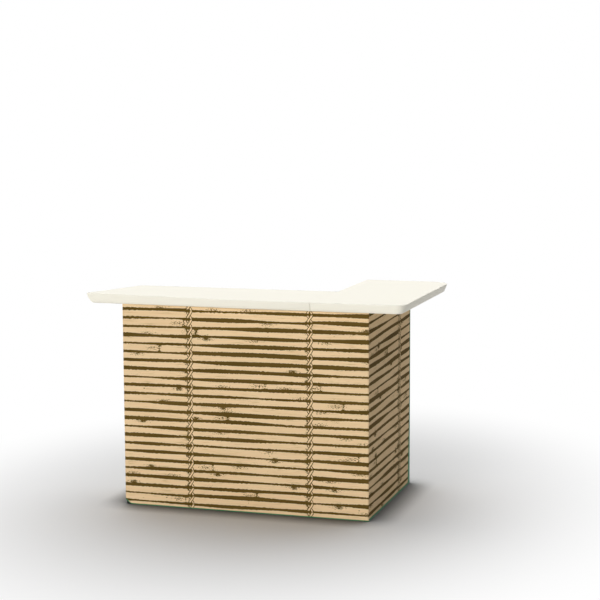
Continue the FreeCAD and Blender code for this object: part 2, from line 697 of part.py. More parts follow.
def counter_outline(body, name, inset):
    # The whole counter seen from above, moved in by the width of the solid rim where inset is 1
    sketch = new_sketch(body, name + "_outline")
    rim = f"{inset} * {cell('board_rim')}"
    inward = inset * size("board_rim")
    wide = f"{cell('total_width')} / 2"
    deep = f"{cell('total_depth')} / 2"
    left = -size("total_width") / 2
    front = counter_front + inward
    back = -counter_front - inward
    right = -left - inward
    inner = -left - size("return_arm") + inward
    arm_back = counter_front + size("front_arm") - inward
    tip = (left + TIP_SHARE * inward, counter_front + size("end_setback") + inward)
    end_x = left + size("end_slant") + END_SHARE * inward
    sweep_x = size("sweep_start")
    sweep_radius = size("sweep_radius") - inward
    sweep_centre = FreeCAD.Vector(sweep_x, front + sweep_radius, 0)
    lean = math.atan2(tip[1] - front, sweep_x - tip[0])
    down = 3 * math.pi / 2
    touch = (
        sweep_centre.x - sweep_radius * math.sin(lean),
        sweep_centre.y - sweep_radius * math.cos(lean),
    )
    front_r = size("front_corner")
    back_r = size("back_corner")

    def line(x_from, y_from, x_to, y_to):
        start = FreeCAD.Vector(x_from, y_from, 0)
        end = FreeCAD.Vector(x_to, y_to, 0)
        return sketch.addGeometry(Part.LineSegment(start, end))

    def turn(x, y, turn_radius, start_angle, end_angle):
        circle = Part.Circle(FreeCAD.Vector(x, y, 0), Z, turn_radius)
        return sketch.addGeometry(Part.ArcOfCircle(circle, start_angle, end_angle))

    left_line = line(*tip, *touch)
    sweep = turn(sweep_centre.x, sweep_centre.y, sweep_radius, down - lean, down)
    front_line = line(sweep_x, front, right - front_r, front)
    front_turn = turn(right - front_r, front + front_r, front_r, down, 2 * math.pi)
    right_line = line(right, front + front_r, right, back - back_r)
    back_turn = turn(right - back_r, back - back_r, back_r, 0, math.pi / 2)
    back_line = line(right - back_r, back, inner, back)
    inner_line = line(inner, back, inner, arm_back)
    arm_line = line(inner, arm_back, end_x, arm_back)
    end_line = line(end_x, arm_back, *tip)
    smooth = [left_line, sweep, front_line, front_turn, right_line, back_turn]
    order = smooth + [back_line, inner_line, arm_line, end_line]
    for first, second in zip(order, order[1:] + order[:1]):
        kind = "Tangent" if first in smooth else "Coincident"
        sketch.addConstraint(Sketcher.Constraint(kind, first, 2, second, 1))
    for flat in (front_line, back_line, arm_line):
        sketch.addConstraint(Sketcher.Constraint("Horizontal", flat))
    for upright in (right_line, inner_line):
        sketch.addConstraint(Sketcher.Constraint("Vertical", upright))
    pin_down(sketch, "front_turn", "Radius", front_turn, to=(front_r, cell("front_corner")))
    pin_down(sketch, "back_turn", "Radius", back_turn, to=(back_r, cell("back_corner")))
    sweep_to = f"{cell('sweep_radius')} - {rim}"
    pin_down(sketch, "sweep_radius", "Radius", sweep, to=(sweep_radius, sweep_to))
    pin_down(sketch, "front", "DistanceY", front_line, 1, -1, 1, to=(-front, f"{deep} - {rim}"))
    pin_down(sketch, "sweep", "DistanceX", -1, 1, front_line, 1, to=(sweep_x, cell("sweep_start")))
    pin_down(sketch, "right", "DistanceX", -1, 1, right_line, 1, to=(right, f"{wide} - {rim}"))
    pin_down(sketch, "back", "DistanceY", -1, 1, back_line, 1, to=(back, f"{deep} - {rim}"))
    inner_to = f"{wide} - {cell('return_arm')} + {rim}"
    pin_down(sketch, "inner", "DistanceX", -1, 1, inner_line, 1, to=(inner, inner_to))
    arm_to = f"{deep} - {cell('front_arm')} + {rim}"
    pin_down(sketch, "arm_back", "DistanceY", arm_line, 1, -1, 1, to=(-arm_back, arm_to))
    end_to = f"{wide} - {cell('end_slant')} - {END_SHARE} * {rim}"
    pin_down(sketch, "end", "DistanceX", end_line, 1, -1, 1, to=(-end_x, end_to))
    tip_to = f"{wide} - {TIP_SHARE} * {rim}"
    pin_down(sketch, "tip_x", "DistanceX", end_line, 2, -1, 1, to=(-tip[0], tip_to))
    tip_back = f"{deep} - {cell('end_setback')} - {rim}"
    pin_down(sketch, "tip_y", "DistanceY", end_line, 2, -1, 1, to=(-tip[1], tip_back))
    return sketch


def counter_blank():
    # The outside of the counter in one piece: its edge leans in all round, going down
    body = doc.addObject("PartDesign::Body", "counter_blank")
    sketch = counter_outline(body, "counter_blank", 0)
    slab = body.newObject("PartDesign::Pad", "counter_slab")
    slab.Profile = sketch
    slab.setExpression("Length", cell("counter_thick"))
    slab.setExpression("TaperAngle", "-" + cell("edge_slope"))
    slab.Reversed = True
    body.Placement.Base = FreeCAD.Vector(0, 0, size("total_height"))
    return body


def counter_hollow():
    body = doc.addObject("PartDesign::Body", "counter_hollow")
    sketch = counter_outline(body, "counter_hollow", 1)
    slab = body.newObject("PartDesign::Pad", "hollow_slab")
    slab.Profile = sketch
    slab.setExpression("Length", f"{cell('counter_thick')} - 2 * {cell('board_skin')}")
    slab.Reversed = True
    body.Placement.Base = FreeCAD.Vector(0, 0, size("total_height") - size("board_skin"))
    return body


def side_box(name, x_from, length):
    # A box that keeps what lies on one side of the seam, and stands out past the counter elsewhere
    corner = (x_from, counter_front - size("side_margin"), board_under - size("side_margin"))
    deep = f"{cell('total_depth')} + 2 * {cell('side_margin')}"
    tall = f"{cell('counter_thick')} + 2 * {cell('side_margin')}"
    return box(name, [length, deep, tall], corner)


def common(name, first, second):
    piece = doc.addObject("Part::MultiCommon", name)
    piece.Shapes = [first, second]
    return piece


def sockets(name, places, radius, depth):
    return [
        rod(f"{name}_{number}", radius, depth, (x, y, board_under), Z)
        for number, (x, y) in enumerate(places)
    ]


def build_counter():
    half_gap = size("seam_gap") / 2
    wall = size("board_skin")
    total = f"{cell('total_width')} / 2"
    meeting = f"({cell('seam_place')} + {cell('seam_offset')})"
    meeting_x = seam_x + size("seam_offset")
    left_length = f"{total} + {meeting} - {cell('seam_gap')} / 2"
    right_length = f"{total} - {meeting} - {cell('seam_gap')} / 2"
    left_start = -size("total_width") / 2
    peg = size("peg_reach")
    boards = (
        ("counter_main", left_start, left_length, left_start,
         [(seam_x - peg, front_y), (seam_x - peg, rear_y)]),
        ("counter_corner", meeting_x + half_gap, right_length, meeting_x + half_gap + wall,
         [(seam_x + peg, front_y), (guide_x, rear_y), (right_x, front_y), (right_x, rear_y)]),
    )
    for label, start, length, hollow_start, places in boards:
        side = side_box(label + "_side", start, length)
        outside = common(label + "_outside", counter_blank_body, side)
        hollow_length = f"{length} - {cell('board_skin')}"
        hollow_side = side_box(label + "_hollow_side", hollow_start, hollow_length)
        inside = common(label + "_inside", counter_hollow_body, hollow_side)
        boss_radius = f"{cell('socket_radius')} + {cell('boss_wall')}"
        boss_depth = f"{cell('socket_depth')} + {cell('boss_wall')}"
        bosses = sockets(label + "_boss", places, boss_radius, boss_depth)
        holes = sockets(label + "_socket", places, cell("socket_radius"), cell("socket_depth"))
        room = cut(label + "_room", inside, group(label + "_bosses", bosses))
        taken = group(label + "_taken", [room] + holes)
        register(label, cut(label, outside, taken))


# Skirt, its binding and the hook tape that holds it

def build_skirt():
    thick = size("skirt_thick")
    tape_thick = size("binding_thick")
    hem_z = size("skirt_bottom") + size("binding_width")
    tall = f"{cell('skirt_top')} - {cell('skirt_bottom')} - {cell('binding_width')}"
    side_start = skirt_front + thick + size("skirt_play")
    right_long = (
        f"{cell('skirt_depth')} - {cell('skirt_thick')} - {cell('skirt_play')} - {cell('side_binding')}"
    )
    left_long = f"{cell('left_return')} - {cell('side_binding')}"
    front_corner = (skirt_left, skirt_front, hem_z)
    front_lengths = [cell("skirt_width"), cell("skirt_thick"), tall]
    register("skirt_front", box("skirt_front", front_lengths, front_corner))
    # The binding is a green tape folded over the hem, and up each free edge
    hem_lengths = [cell("skirt_width"), cell("binding_thick"), cell("binding_width")]
    hem_corner = (skirt_left, skirt_front, size("skirt_bottom"))
    register("binding_front", box("binding_front", hem_lengths, hem_corner))
    hem_start = skirt_front + tape_thick + size("skirt_play")
    hem_short = f"{cell('binding_thick')} - {cell('skirt_thick')}"
    edge_tall = f"{cell('skirt_top')} - {cell('skirt_bottom')}"
    for side, cloth_x, tape_x, long in (
        ("right", skirt_right - thick, skirt_right - tape_thick, right_long),
        ("left", skirt_left, skirt_left, left_long),
    ):
        cloth_corner = (cloth_x, side_start, hem_z)
        cloth = box("skirt_" + side, [cell("skirt_thick"), long, tall], cloth_corner)
        register("skirt_" + side, cloth)
        label = "binding_" + side
        hem_lengths = [cell("binding_thick"), f"{long} - ({hem_short})", cell("binding_width")]
        hem_corner = (tape_x, hem_start, size("skirt_bottom"))
        hem = box(label + "_hem", hem_lengths, hem_corner)
        edge_start = side_start + float(cloth.Width)
        edge_lengths = [cell("binding_thick"), cell("side_binding"), edge_tall]
        edge = box(label + "_edge", edge_lengths, (tape_x, edge_start, size("skirt_bottom")))
        register(label, fuse(label, [hem, edge]))


def hook_tape(name, post_centre, outward):
    along = X if outward.y else Y
    half = size("tape_width") / 2
    face = FreeCAD.Vector(post_centre[0], post_centre[1], 0) + outward * (size("bracket_side") / 2)
    low = face - along * half
    high = face + along * half + outward * size("tape_thick")
    height = bracket_top - size("tape_height") - size("bracket_cap")
    corner = (min(low.x, high.x), min(low.y, high.y), height)
    lengths = [cell("tape_width"), cell("tape_thick"), cell("tape_height")]
    if outward.x:
        lengths = [cell("tape_thick"), cell("tape_width"), cell("tape_height")]
    return box(name, lengths, corner)


def build_hook_tape():
    for label, places in (
        (
            "corner_hook_tape",
            [
                ((seam_x, front_y), -Y),
                ((right_x, front_y), -Y),
                ((right_x, front_y), X),
                ((right_x, rear_y), X),
            ],
        ),
        ("middle_hook_tape", [((middle_x, front_y), -Y)]),
        ("left_hook_tape", [((left_x, front_y), -Y), ((left_x, front_y), -X), ((left_x, rear_y), -X)]),
        ("return_hook_tape", [((right_x, end_y), X)]),
    ):
        strips = [
            hook_tape(f"{label}_{number}", place, outward)
            for number, (place, outward) in enumerate(places)
        ]
        register(label, group(label, strips))


# Build, check and write

build_frames()
build_brackets()
build_sliders()
build_feet()
build_scissors()
build_shelves()
counter_blank_body = counter_blank()
counter_hollow_body = counter_hollow()
build_counter()
build_skirt()
build_hook_tape()
doc.recompute()

for item in doc.Objects:
    if "Invalid" in item.State or "Error" in item.State:
        raise SystemExit(f"{item.Name} failed: {item.State}")
for label, item in sub_parts.items():
    if item.Shape.isNull() or not item.Shape.isValid() or not item.Shape.Solids:
        raise SystemExit(f"{label} has no valid solid")

os.makedirs("parts", exist_ok=True)
for label, item in sub_parts.items():
    item.Shape.exportStep(os.path.join("parts", label + ".step"))
    print(f"{label}: {item.Shape.Volume / 1000:.1f} cm3, {len(item.Shape.Solids)} solids")
print(f"{len(sub_parts)} sub-parts, arms at {fold_start:.3f} degrees, sliders at {slider_z:.3f}")
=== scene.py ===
import json
import math

import bmesh
import bpy
from mathutils import Matrix, Vector, noise
from mathutils.geometry import delaunay_2d_cdt, intersect_point_line

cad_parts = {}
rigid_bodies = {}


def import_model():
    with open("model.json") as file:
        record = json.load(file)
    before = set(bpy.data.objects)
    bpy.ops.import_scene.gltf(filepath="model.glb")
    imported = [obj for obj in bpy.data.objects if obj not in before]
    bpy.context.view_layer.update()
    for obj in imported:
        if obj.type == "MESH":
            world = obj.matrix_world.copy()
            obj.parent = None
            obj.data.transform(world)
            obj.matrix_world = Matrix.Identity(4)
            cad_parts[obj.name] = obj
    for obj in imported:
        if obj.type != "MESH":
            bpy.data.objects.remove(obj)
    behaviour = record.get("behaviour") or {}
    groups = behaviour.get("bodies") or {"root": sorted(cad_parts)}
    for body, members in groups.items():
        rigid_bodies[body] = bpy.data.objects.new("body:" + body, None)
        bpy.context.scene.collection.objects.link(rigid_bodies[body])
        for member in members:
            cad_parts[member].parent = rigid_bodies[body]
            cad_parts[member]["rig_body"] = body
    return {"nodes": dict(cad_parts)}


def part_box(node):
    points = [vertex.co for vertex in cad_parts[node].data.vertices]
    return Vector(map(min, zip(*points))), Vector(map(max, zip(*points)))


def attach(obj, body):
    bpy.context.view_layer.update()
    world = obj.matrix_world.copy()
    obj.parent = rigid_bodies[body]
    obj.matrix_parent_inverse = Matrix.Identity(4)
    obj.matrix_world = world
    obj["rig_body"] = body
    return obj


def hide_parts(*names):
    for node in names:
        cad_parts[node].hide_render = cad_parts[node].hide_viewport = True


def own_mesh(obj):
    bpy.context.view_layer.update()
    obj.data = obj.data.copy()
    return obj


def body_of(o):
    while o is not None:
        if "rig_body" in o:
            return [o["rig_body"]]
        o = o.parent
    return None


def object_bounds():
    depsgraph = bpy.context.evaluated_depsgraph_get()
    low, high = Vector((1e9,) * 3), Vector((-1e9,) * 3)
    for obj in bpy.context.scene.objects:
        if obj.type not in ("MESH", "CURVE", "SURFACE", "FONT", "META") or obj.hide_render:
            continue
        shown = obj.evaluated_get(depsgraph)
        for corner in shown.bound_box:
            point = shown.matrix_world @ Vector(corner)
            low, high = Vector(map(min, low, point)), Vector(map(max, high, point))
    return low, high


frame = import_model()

# Portable patio bar: cream moulded counter, cloth skirt printed as lashed bamboo, folding steel frame.
# Lengths are millimetres here and become metres when a mesh is made.
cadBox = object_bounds()
mm = 0.001


def linear(hexColour, alpha=1.0):
    channels = [int(hexColour[i:i + 2], 16) / 255 for i in (1, 3, 5)]
    return tuple(c / 12.92 if c <= 0.04045 else ((c + 0.055) / 1.055) ** 2.4 for c in channels) + (alpha,)


def grains(size):
    # the scale at which a noise texture's grains are this many mm wide
    return 1 / (size * mm)


def addNode(tree, kind, settings=None, inputs=()):
    # a node with its settings and links; a kind in capitals is what a Math node does; the inputs are in
    # their order or by name, and each is a value, a socket, or a node for its first output
    if kind.isupper():
        kind, settings = "ShaderNodeMath", {"operation": kind}
    node = tree.nodes.new(kind)
    for name, value in (settings or {}).items():
        setattr(node, name, value)
    for socket, value in inputs.items() if isinstance(inputs, dict) else enumerate(inputs):
        if isinstance(value, bpy.types.Node):
            value = value.outputs[0]
        if isinstance(value, bpy.types.NodeSocket):
            tree.links.new(value, node.inputs[socket])
        else:
            node.inputs[socket].default_value = value
    return node


def emptyTree(owner):
    # the node tree of a material or a world, cleared
    owner.use_nodes = True
    owner.node_tree.nodes.clear()
    return owner.node_tree


def startMaterial(name, shaderInputs):
    # a new material with its output and one Principled shader, ready for its pattern
    material = bpy.data.materials.new(name)
    tree = emptyTree(material)
    shader = addNode(tree, "ShaderNodeBsdfPrincipled", None, shaderInputs)
    addNode(tree, "ShaderNodeOutputMaterial", None, {"Surface": shader})
    return material, tree, shader


def makeObject(name, mesh, materials, smoothAngle=None):
    piece = bpy.data.objects.new(name, mesh)
    bpy.context.scene.collection.objects.link(piece)
    for material in materials:
        mesh.materials.append(material)
    if smoothAngle is not None:
        mesh.polygons.foreach_set("use_smooth", [True] * len(mesh.polygons))
        mesh.set_sharp_from_angle(angle=math.radians(smoothAngle))
    return piece


def meshFrom(work, name):
    mesh = bpy.data.meshes.new(name)
    work.to_mesh(mesh)
    work.free()
    return mesh


def mergedCopy(node):
    # a CAD node's loose triangles, joined where their corners meet
    work = bmesh.new()
    work.from_mesh(frame["nodes"][node].data)
    bmesh.ops.remove_doubles(work, verts=work.verts, dist=0.00001)
    return work


def bodyOf(node):
    return body_of(frame["nodes"][node])[0]


def boxInMm(node):
    return [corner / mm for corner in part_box(node)]


def solidBoxes(node):
    # the box of each separate solid in a CAD node, in an order that is the same each run
    work = mergedCopy(node)
    left = set(work.verts)
    boxes = []
    while left:
        reached = {left.pop()}
        front = list(reached)
        while front:
            vertex = front.pop()
            for edge in vertex.link_edges:
                other = edge.other_vert(vertex)
                if other not in reached:
                    reached.add(other)
                    front.append(other)
        left -= reached
        low, high = [Vector([pick(vertex.co[axis] for vertex in reached) for axis in range(3)])
                     for pick in (min, max)]
        boxes.append((low / mm, high / mm))
    work.free()
    return sorted(boxes, key=lambda box: box[0][:])


def smoothStep(value):
    value = min(max(value, 0.0), 1.0)
    return value * value * (3 - 2 * value)


def evaluated(piece):
    # the piece's mesh with its modifiers applied, in place of the modifiers
    bpy.context.view_layer.update()
    mesh = bpy.data.meshes.new_from_object(piece.evaluated_get(bpy.context.evaluated_depsgraph_get()))
    piece.modifiers.clear()
    piece.data = mesh
    return piece


def polylines(name, lines, closed=False):
    # a mesh of bare edges, one run for each line of points
    points = [point for line in lines for point in line]
    edges = []
    start = 0
    for line in lines:
        edges += [(start + i, start + i + 1) for i in range(len(line) - 1)]
        if closed:
            edges.append((start + len(line) - 1, start))
        start += len(line)
    mesh = bpy.data.meshes.new(name)
    mesh.from_pydata([point * mm for point in points], edges, [])
    return makeObject(name, mesh, [])


# what a repeat is made of, each of unit size: six-sided stitches, beads of a weld, rivet heads
repeatUnits = {
    "stitch": ("GeometryNodeMeshCylinder", {"Vertices": 6, "Side Segments": 1, "Radius": 1.0, "Depth": 2.0}),
    "bead": ("GeometryNodeMeshIcoSphere", {"Radius": 1.0, "Subdivisions": 1}),
    "head": ("GeometryNodeMeshUVSphere", {"Segments": 16, "Rings": 8, "Radius": 1.0}),
}


def repeatTree(name, shape, material):
    # Geometry Nodes: stitches or beads along every run of edges, or heads at points, turned as each faces
    tree = bpy.data.node_groups.new(name, "GeometryNodeTree")
    tree.interface.new_socket("Geometry", in_out="INPUT", socket_type="NodeSocketGeometry")
    sockets = [tree.interface.new_socket(title, in_out="INPUT", socket_type="NodeSocketFloat")
               for title in ("Spacing", "Length", "Width", "Height")]
    tree.interface.new_socket("Geometry", in_out="OUTPUT", socket_type="NodeSocketGeometry")
    given = addNode(tree, "NodeGroupInput")
    unitKind, unitInputs = repeatUnits[shape]
    unit = addNode(tree, unitKind, None, unitInputs)
    if shape == "head":
        points = addNode(tree, "GeometryNodeMeshToPoints", None, {"Mesh": given})
        facing = addNode(tree, "GeometryNodeInputNamedAttribute", {"data_type": "FLOAT_VECTOR"}, {
            "Name": "facing"})
        rotation = addNode(tree, "FunctionNodeAlignRotationToVector", {"axis": "Z"}, {
            "Vector": facing.outputs["Attribute"]})
    else:
        run = addNode(tree, "GeometryNodeMeshToCurve", None, {"Mesh": given})
        points = addNode(tree, "GeometryNodeCurveToPoints", {"mode": "LENGTH"}, {
            "Curve": run, "Length": given.outputs["Spacing"]})
        rotation = points.outputs["Rotation"]
    size = addNode(tree, "ShaderNodeCombineXYZ", None, [
        given.outputs[title] for title in ("Height", "Width", "Length")])
    copies = addNode(tree, "GeometryNodeInstanceOnPoints", None, {
        "Points": points, "Instance": unit, "Rotation": rotation, "Scale": size})
    real = addNode(tree, "GeometryNodeRealizeInstances", None, {"Geometry": copies})
    smooth = addNode(tree, "GeometryNodeSetShadeSmooth", None, {"Geometry": real})
    finish = addNode(tree, "GeometryNodeSetMaterial", None, {"Geometry": smooth, "Material": material})
    addNode(tree, "NodeGroupOutput", None, {"Geometry": finish})
    return tree, sockets


def repeatAlong(piece, treeAndSockets, spacing, length, width, height):
    # all four in mm; length runs along the edges, or along the facing of a head
    tree, sockets = treeAndSockets
    nodes = piece.modifiers.new("repeat", "NODES")
    nodes.node_group = tree
    for socket, value in zip(sockets, (spacing, length / 2, width / 2, height / 2)):
        nodes[socket.identifier] = value * mm
    return evaluated(piece)


# Camera, at the photo's own angle: a long lens, a little above the counter and to the right of the front

cameraSetup = {
    "place": (2599.5, -7813.0, 2022.4),
    "yaw": 17.346,
    "pitchDown": 7.042,
    "roll": -0.244,
    "focalPixels": 1623.4,
    "framePixels": 600,
    "sensor": 36.0,
}


def makeCamera(setup):
    yaw = math.radians(setup["yaw"])
    pitch = math.radians(setup["pitchDown"])
    forward = Vector((-math.sin(yaw) * math.cos(pitch), math.cos(yaw) * math.cos(pitch), -math.sin(pitch)))
    right = Vector((math.cos(yaw), math.sin(yaw), 0))
    up = right.cross(forward)
    turn = Matrix.Rotation(-math.radians(setup["roll"]), 3, forward)
    right, up = turn @ right, turn @ up
    data = bpy.data.cameras.new("camera")
    data.sensor_width = setup["sensor"]
    data.lens = setup["focalPixels"] * setup["sensor"] / setup["framePixels"]
    data.clip_end = 100
    camera = bpy.data.objects.new("camera", data)
    axes = Matrix((right, up, -forward)).transposed().to_4x4()
    camera.matrix_world = Matrix.Translation(Vector(setup["place"]) * mm) @ axes
    bpy.context.scene.collection.objects.link(camera)
    bpy.context.scene.camera = camera


makeCamera(cameraSetup)

# Floor with a painted soft shadow and a painted contact shadow, white surroundings and two soft lamps

studio = {
    "floorSize": 400.0,
    # the floor's grey: near the bar the camera sees it as a painted soft shadow round the bar, and light
    # bounces from it everywhere
    "floorColour": "#E0E0E0",
    "paintedShadowFadeStart": 0.6,  # metres from the middle at which the floor's grey, a painted soft shadow round the bar, starts to fade to white, and is white
    "paintedShadowFadeEnd": 2.1,
    "paintedShadowStretch": 1.3,  # how much farther the painted soft shadow fades along the depth than across
    "paintedContactShadowReach": 0.15,  # metres over which a painted contact shadow darkens the floor towards what stands on it
    "paintedContactShadowPower": 2.3,  # the power that deepens this painted contact shadow
    "skyLight": 0.05,  # the world's strength as light on the object, and as the white that is seen
    "surroundings": 1.0,
    "lampDistance": 3,
    "lamps": {
        # name: the way it shines from (x, y, z), strength, softness in degrees
        "frontSoftbox": ((-0.24, -1.0, 0.07), 2.8, 24),
        "topSoftbox": ((-0.12, 0.52, 1.0), 2.65, 80),
    },
}


def seenDirectly(tree):
    # 1 where the camera looks, or a reflection or a see-through part shows it
    rays = addNode(tree, "ShaderNodeLightPath")
    direct = rays.outputs["Is Camera Ray"]
    for kind in ("Is Glossy Ray", "Is Transmission Ray"):
        direct = addNode(tree, "MAXIMUM", None, (direct, rays.outputs[kind]))
    return direct


def makeStudio(setup):
    half = setup["floorSize"] / 2
    mesh = bpy.data.meshes.new("floor")
    corners = [(-half, -half, 0), (half, -half, 0), (half, half, 0), (-half, half, 0)]
    mesh.from_pydata(corners, [], [(0, 1, 2, 3)])
    # matt and pale grey, where the grey near the bar is a painted soft shadow round it that fades to white
    # away from the bar, and a painted contact shadow darkens it right beside what stands on it
    material = bpy.data.materials.new("paleFloorPaintedShadow")
    tree = emptyTree(material)
    # painted soft shadow: seen directly, the floor keeps its grey near the bar and turns to white emission
    # farther off
    place = addNode(tree, "ShaderNodeTexCoord")
    squeezed = addNode(tree, "ShaderNodeVectorMath", {"operation": "MULTIPLY"}, (
        place.outputs["Object"], (1, 1 / setup["paintedShadowStretch"], 0)))
    away = addNode(tree, "ShaderNodeVectorMath", {"operation": "LENGTH"}, (squeezed,))
    fade = addNode(tree, "ShaderNodeMapRange", {"interpolation_type": "SMOOTHSTEP"}, {
        "Value": away.outputs["Value"], "From Min": setup["paintedShadowFadeStart"], "From Max": setup["paintedShadowFadeEnd"]})
    direct = seenDirectly(tree)
    share = addNode(tree, "MULTIPLY", None, (fade, direct))
    # painted contact shadow: seen directly, the floor's colour goes towards black where something stands
    # close to it
    contact = addNode(tree, "ShaderNodeAmbientOcclusion", {"samples": 8}, {
        "Distance": setup["paintedContactShadowReach"]})
    openness = addNode(tree, "POWER", None, (contact.outputs["AO"], setup["paintedContactShadowPower"]))
    paintedShadowStrength = addNode(tree, "SUBTRACT", None, (1, openness))
    shade = addNode(tree, "MULTIPLY", None, (paintedShadowStrength, direct))
    paint = addNode(tree, "ShaderNodeMix", {"data_type": "RGBA"}, {
        "Factor": shade, 6: linear(setup["floorColour"]), 7: (0, 0, 0, 1)})
    matt = addNode(tree, "ShaderNodeBsdfDiffuse", None, {"Color": paint.outputs[2]})
    white = addNode(tree, "ShaderNodeEmission", None, {
        "Color": (1, 1, 1, 1), "Strength": setup["surroundings"]})
    blended = addNode(tree, "ShaderNodeMixShader", None, (share, matt, white))
    addNode(tree, "ShaderNodeOutputMaterial", None, {"Surface": blended})
    floor = makeObject("floor", mesh, [material])

    world = bpy.data.worlds.new("whiteSurroundings")
    bpy.context.scene.world = world
    tree = emptyTree(world)
    skyStrength = addNode(tree, "ShaderNodeMix", {"data_type": "FLOAT"}, {
        "Factor": seenDirectly(tree), 2: setup["skyLight"], 3: setup["surroundings"]})
    sky = addNode(tree, "ShaderNodeBackground", None, {"Color": (1, 1, 1, 1), "Strength": skyStrength})
    addNode(tree, "ShaderNodeOutputWorld", None, {"Surface": sky})

    for name, (way, strength, softness) in setup["lamps"].items():
        data = bpy.data.lights.new(name, "SUN")
        data.energy = strength
        data.angle = math.radians(softness)
        lamp = bpy.data.objects.new(name, data)
        lamp.location = Vector(way) * setup["lampDistance"]
        lamp.rotation_euler = Vector(way).to_track_quat("Z", "Y").to_euler()
        bpy.context.scene.collection.objects.link(lamp)


makeStudio(studio)
bpy.context.scene.view_settings.view_transform = "Standard"
print("stage: camera, floor and lamps")

# Counter: two hollow boards of blow-moulded high-density polyethylene

counter = {
    "colour": "#F1EDDE",
    "frontCornerRadius": 50,
    "backCornerRadius": 100,
    "tipRadius": 5,
    "endRadius": 14,
    "innerRadius": 3,
    "seamCornerRadius": 1.5,
    "leastRadius": 0.6,  # no corner is rounded tighter than this
    "tipSetback": 85,  # the front edge slants back this much, from a gentle bend to the left tip
    "bendPlace": -42,
    "bendRadius": 2000,
    "endSlant": 141,  # the left end slants in this much towards its rear
    "frontArm": 463,  # how deep the front arm is, and how wide the return arm
    "returnArm": 454,
    # the rim in section: how far in from the arris, and how far below the top; steeper on the inner sides
    "rim": [(9, 0), (3.0, 0.0), (1.1, 0.4), (0.25, 1.3), (0, 2.8), (0.6, 6), (2.4, 12), (5.4, 20), (9.0, 28),
            (12.6, 35), (14.8, 38.6), (17.2, 41.4), (20.4, 43.5), (24.5, 44.7), (29, 45)],
    "undersideInset": 33,
    "steepness": 0.72,
    "tipRimExtra": 0.17,  # the rim is deeper by this share at the tip
    "tipRimStart": -470,  # where that starts, and the length over which it grows
    "tipRimRun": 360,
    "cadSeamHalf": 0.5,  # half the gap that the CAD boards leave at the seam
    "seamTopGap": 0.9,  # the seam's gap grows from top to bottom, by this power of the depth
    "seamBottomGap": 2.0,
    "seamCurve": 1.3,
    "bracketSide": 34,
    "pegReach": 36,
    # holes up into the underside, as (radius, rise): the pegs' sockets, and the pinches that tie the skins
    "socket": [(9.7, 0), (8.5, 1.2), (8.3, 18)],
    "socketSpokes": 28,
    "pinch": [(20.5, 0), (18.8, 1.6), (9, 30), (5.5, 33)],
    "pinchSpokes": 12,
    "pinchPitch": 84,
    "pinchMargin": 9,
    "smoothAngle": 38,
}


def crossing(firstPoint, firstWay, secondPoint, secondWay):
    # where two lines in the plane meet
    turn = firstWay.x * secondWay.y - firstWay.y * secondWay.x
    gap = secondPoint - firstPoint
    return firstPoint + firstWay * ((gap.x * secondWay.y - gap.y * secondWay.x) / turn)


def turnBetween(before, after):
    return math.atan2(before.x * after.y - before.y * after.x, before.dot(after))


def roundedCorner(corner, before, after, radius, steps):
    # points round a corner, from the way before it to the way after it
    turn = turnBetween(before, after)
    normal = Vector((-before.y, before.x)) * (1 if turn > 0 else -1)
    centre = corner - before * (radius * math.tan(abs(turn) / 2)) + normal * radius
    spokes = [Matrix.Rotation(turn * step / steps, 2) @ (-normal) for step in range(steps + 1)]
    return [centre + spoke * radius for spoke in spokes]


def roundedOutline(corners, insets, leastRadius):
    # corners: (x, y, radius, steps), anticlockwise; insets: how far each side, from its corner on, moves in
    count = len(corners)
    points = [Vector(corner[:2]) for corner in corners]
    ways = [(points[(i + 1) % count] - points[i]).normalized() for i in range(count)]
    sides = [points[i] + Vector((-ways[i].y, ways[i].x)) * insets[i] for i in range(count)]
    outline = []
    for i in range(count):
        before, after = ways[i - 1], ways[i]
        corner = crossing(sides[i - 1], before, sides[i], after)
        radius, steps = corners[i][2:]
        inset = min(insets[i - 1], insets[i])
        radius += -inset if turnBetween(before, after) > 0 else inset
        outline += roundedCorner(corner, before, after, max(radius, leastRadius), steps)
    return outline


def blindHole(work, place, under, profile, spokes):
    # a round hole up into the underside, closed at its end; gives back the ring of its mouth
    rings = []
    for radius, rise in profile:
        turns = [Matrix.Rotation(math.tau * step / spokes, 2) @ Vector((radius, 0)) for step in range(spokes)]
        rings.append([work.verts.new(Vector((place[0] + x, place[1] + y, under + rise)) * mm)
                      for x, y in turns])
    for outer, inner in zip(rings, rings[1:]):
        for i in range(spokes):
            work.faces.new((outer[i - 1], outer[i], inner[i], inner[i - 1]))
    work.faces.new(rings[-1])
    return rings[0]


def pinchPlaces(outline, brackets, sizes):
    # a staggered grid on the underside, clear of its edges and of the brackets
    pitch, reach = sizes["pinchPitch"], sizes["pinch"][0][0] + sizes["pinchMargin"]
    low, high = [Vector([pick(point[axis] for point in outline) for axis in (0, 1)]) for pick in (min, max)]
    rise = pitch * math.sin(math.radians(60))
    places = []
    for row in range(int((high.y - low.y) / rise)):
        for column in range(int((high.x - low.x) / pitch)):
            place = low + Vector(((column + 0.5 + row % 2 / 2) * pitch, (row + 0.5) * rise))
            inside = False
            gap = reach * 2
            for first, second in zip(outline, outline[1:] + outline[:1]):
                if (first.y > place.y) != (second.y > place.y):
                    slope = (second.x - first.x) / (second.y - first.y)
                    inside ^= first.x + (place.y - first.y) * slope > place.x
                if (second - first).length > 0.001:
                    share = min(max(intersect_point_line(place, first, second)[1], 0), 1)
                    gap = min(gap, (first.lerp(second, share) - place).length)
            blocked = any(all(corner[axis] - reach < place[axis] < opposite[axis] + reach for axis in (0, 1))
                          for corner, opposite in brackets)
            if inside and gap > reach and not blocked:
                places.append(place)
    return places


